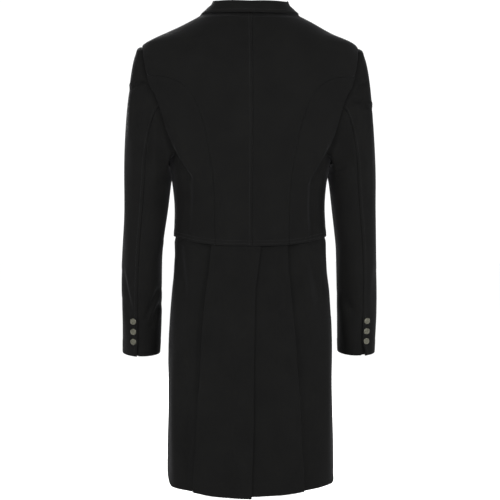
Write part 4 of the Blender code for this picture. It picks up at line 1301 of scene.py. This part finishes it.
def button(node, kind):
    """A turned button on the place and axis of its solid, with its face away from the cloth."""
    solid = bpy.data.objects[node]
    corners = np.array([solid.matrix_world @ v.co for v in solid.data.vertices])
    middle = corners.mean(axis=0)
    axis = np.linalg.svd(corners - middle)[2][2]
    face = np.array([0.0, -1.0, 0.0])
    if kind == "cuff":
        face = middle - np.array([CUFF_MIDDLE[0] * np.sign(middle[0]), CUFF_MIDDLE[1], middle[2]])
    axis = axis * np.sign(axis @ face)
    u = unit(np.cross(axis, [0.0, 0.0, 1.0]))
    v = np.cross(axis, u)
    turns = [2 * math.pi * k / BUTTON_STEPS for k in range(BUTTON_STEPS)]
    ways = [u * math.cos(a) + v * math.sin(a) for a in turns]
    rows = button_profile(*BUTTONS[kind])
    vertices = [middle + way * radius + axis * height for radius, height in rows for way in ways]
    faces = tube_faces(len(rows), BUTTON_STEPS)
    thing = add_mesh(node + "_metal", vertices, faces, METAL_LOOK)
    face_out(thing)
    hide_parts(node)


def button_profile(radius, thick):
    """Half section of a shank button: flat back, round rim, shallow dished face."""
    half, rim = thick / 2, radius * BUTTON_RIM
    rows = [(width, -half) for width in (*BUTTON_SHANK, radius * BUTTON_BACK)]
    bend = half * BUTTON_EDGE
    for a in np.radians(np.arange(-90, 91, 30)):
        rows.append((radius - bend + bend * math.cos(a), half * BUTTON_EDGE_RISE * math.sin(a)))
    rows += [(rim * across, half * up) for across, up in BUTTON_FACE]
    return rows + [(BUTTON_MIDDLE, rows[-1][1])]


def place_at(name, data, place, aim):
    """Adds a light or camera that looks at a point."""
    thing = bpy.data.objects.new(name, data)
    thing.location = place
    thing.rotation_mode = "QUATERNION"
    thing.rotation_quaternion = (Vector(aim) - Vector(place)).to_track_quat("-Z", "Y")
    bpy.context.scene.collection.objects.link(thing)
    return thing


def studio():
    """White surroundings and a pale floor, soft lights, and the camera."""
    scene = bpy.context.scene
    scene.world = bpy.data.worlds.new("studio")
    scene.world.use_nodes = True
    sky = scene.world.node_tree.nodes["Background"].inputs
    sky["Color"].default_value = (1.0, 1.0, 1.0, 1.0)
    sky["Strength"].default_value = WORLD_LIGHT
    scene.view_settings.view_transform = "Standard"
    mesh = bpy.data.meshes.new("floor")
    ways = ((-1, -1), (1, -1), (1, 1), (-1, 1))
    corners = [(x * FLOOR_SIZE, y * FLOOR_SIZE, FLOOR_Z) for x, y in ways]
    mesh.from_pydata(corners, [], [(0, 1, 2, 3)])
    tone = (FLOOR_TONE, FLOOR_TONE, FLOOR_TONE, 1.0)
    mesh.materials.append(
        new_material("pale_floor", Base_Color=tone, Roughness=0.9, Specular_IOR_Level=0.1)[0]
    )
    floor = bpy.data.objects.new("floor", mesh)
    scene.collection.objects.link(floor)
    for name, (place, aim, size, power) in LIGHTS.items():
        data = bpy.data.lights.new(name, "AREA")
        data.shape = "RECTANGLE"
        data.size, data.size_y = size
        data.energy = power
        place_at(name, data, place, aim)
    data = bpy.data.cameras.new("camera")
    data.lens = FOCAL
    data.sensor_width = SENSOR
    turn = math.radians(CAMERA_TURN)
    place = (-CAMERA_DISTANCE * math.sin(turn), -CAMERA_DISTANCE * math.cos(turn), CAMERA_HEIGHT)
    scene.camera = place_at("camera", data, place, (0.0, 0.0, CAMERA_HEIGHT))


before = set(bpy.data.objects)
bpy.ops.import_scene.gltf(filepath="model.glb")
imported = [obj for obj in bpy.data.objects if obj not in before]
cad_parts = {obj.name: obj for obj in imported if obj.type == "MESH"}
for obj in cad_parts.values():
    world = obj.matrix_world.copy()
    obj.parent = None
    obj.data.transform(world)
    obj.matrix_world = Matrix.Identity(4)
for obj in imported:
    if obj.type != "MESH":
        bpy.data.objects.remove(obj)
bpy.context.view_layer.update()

CLOTH_LOOK = cloth_material()
THREAD_LOOK = thread_material()
METAL_LOOK = metal_material()
STITCHED, BACKS = [], {}

lines = seams()
collar(lines)
body_panels(lines)
lapels()
tails()
sleeves(lines)
neck_stitch()
stitches("stitching", STITCHED)
for node in sorted(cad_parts):
    if "button" in node:
        button(node, node.split("_")[0])
studio()
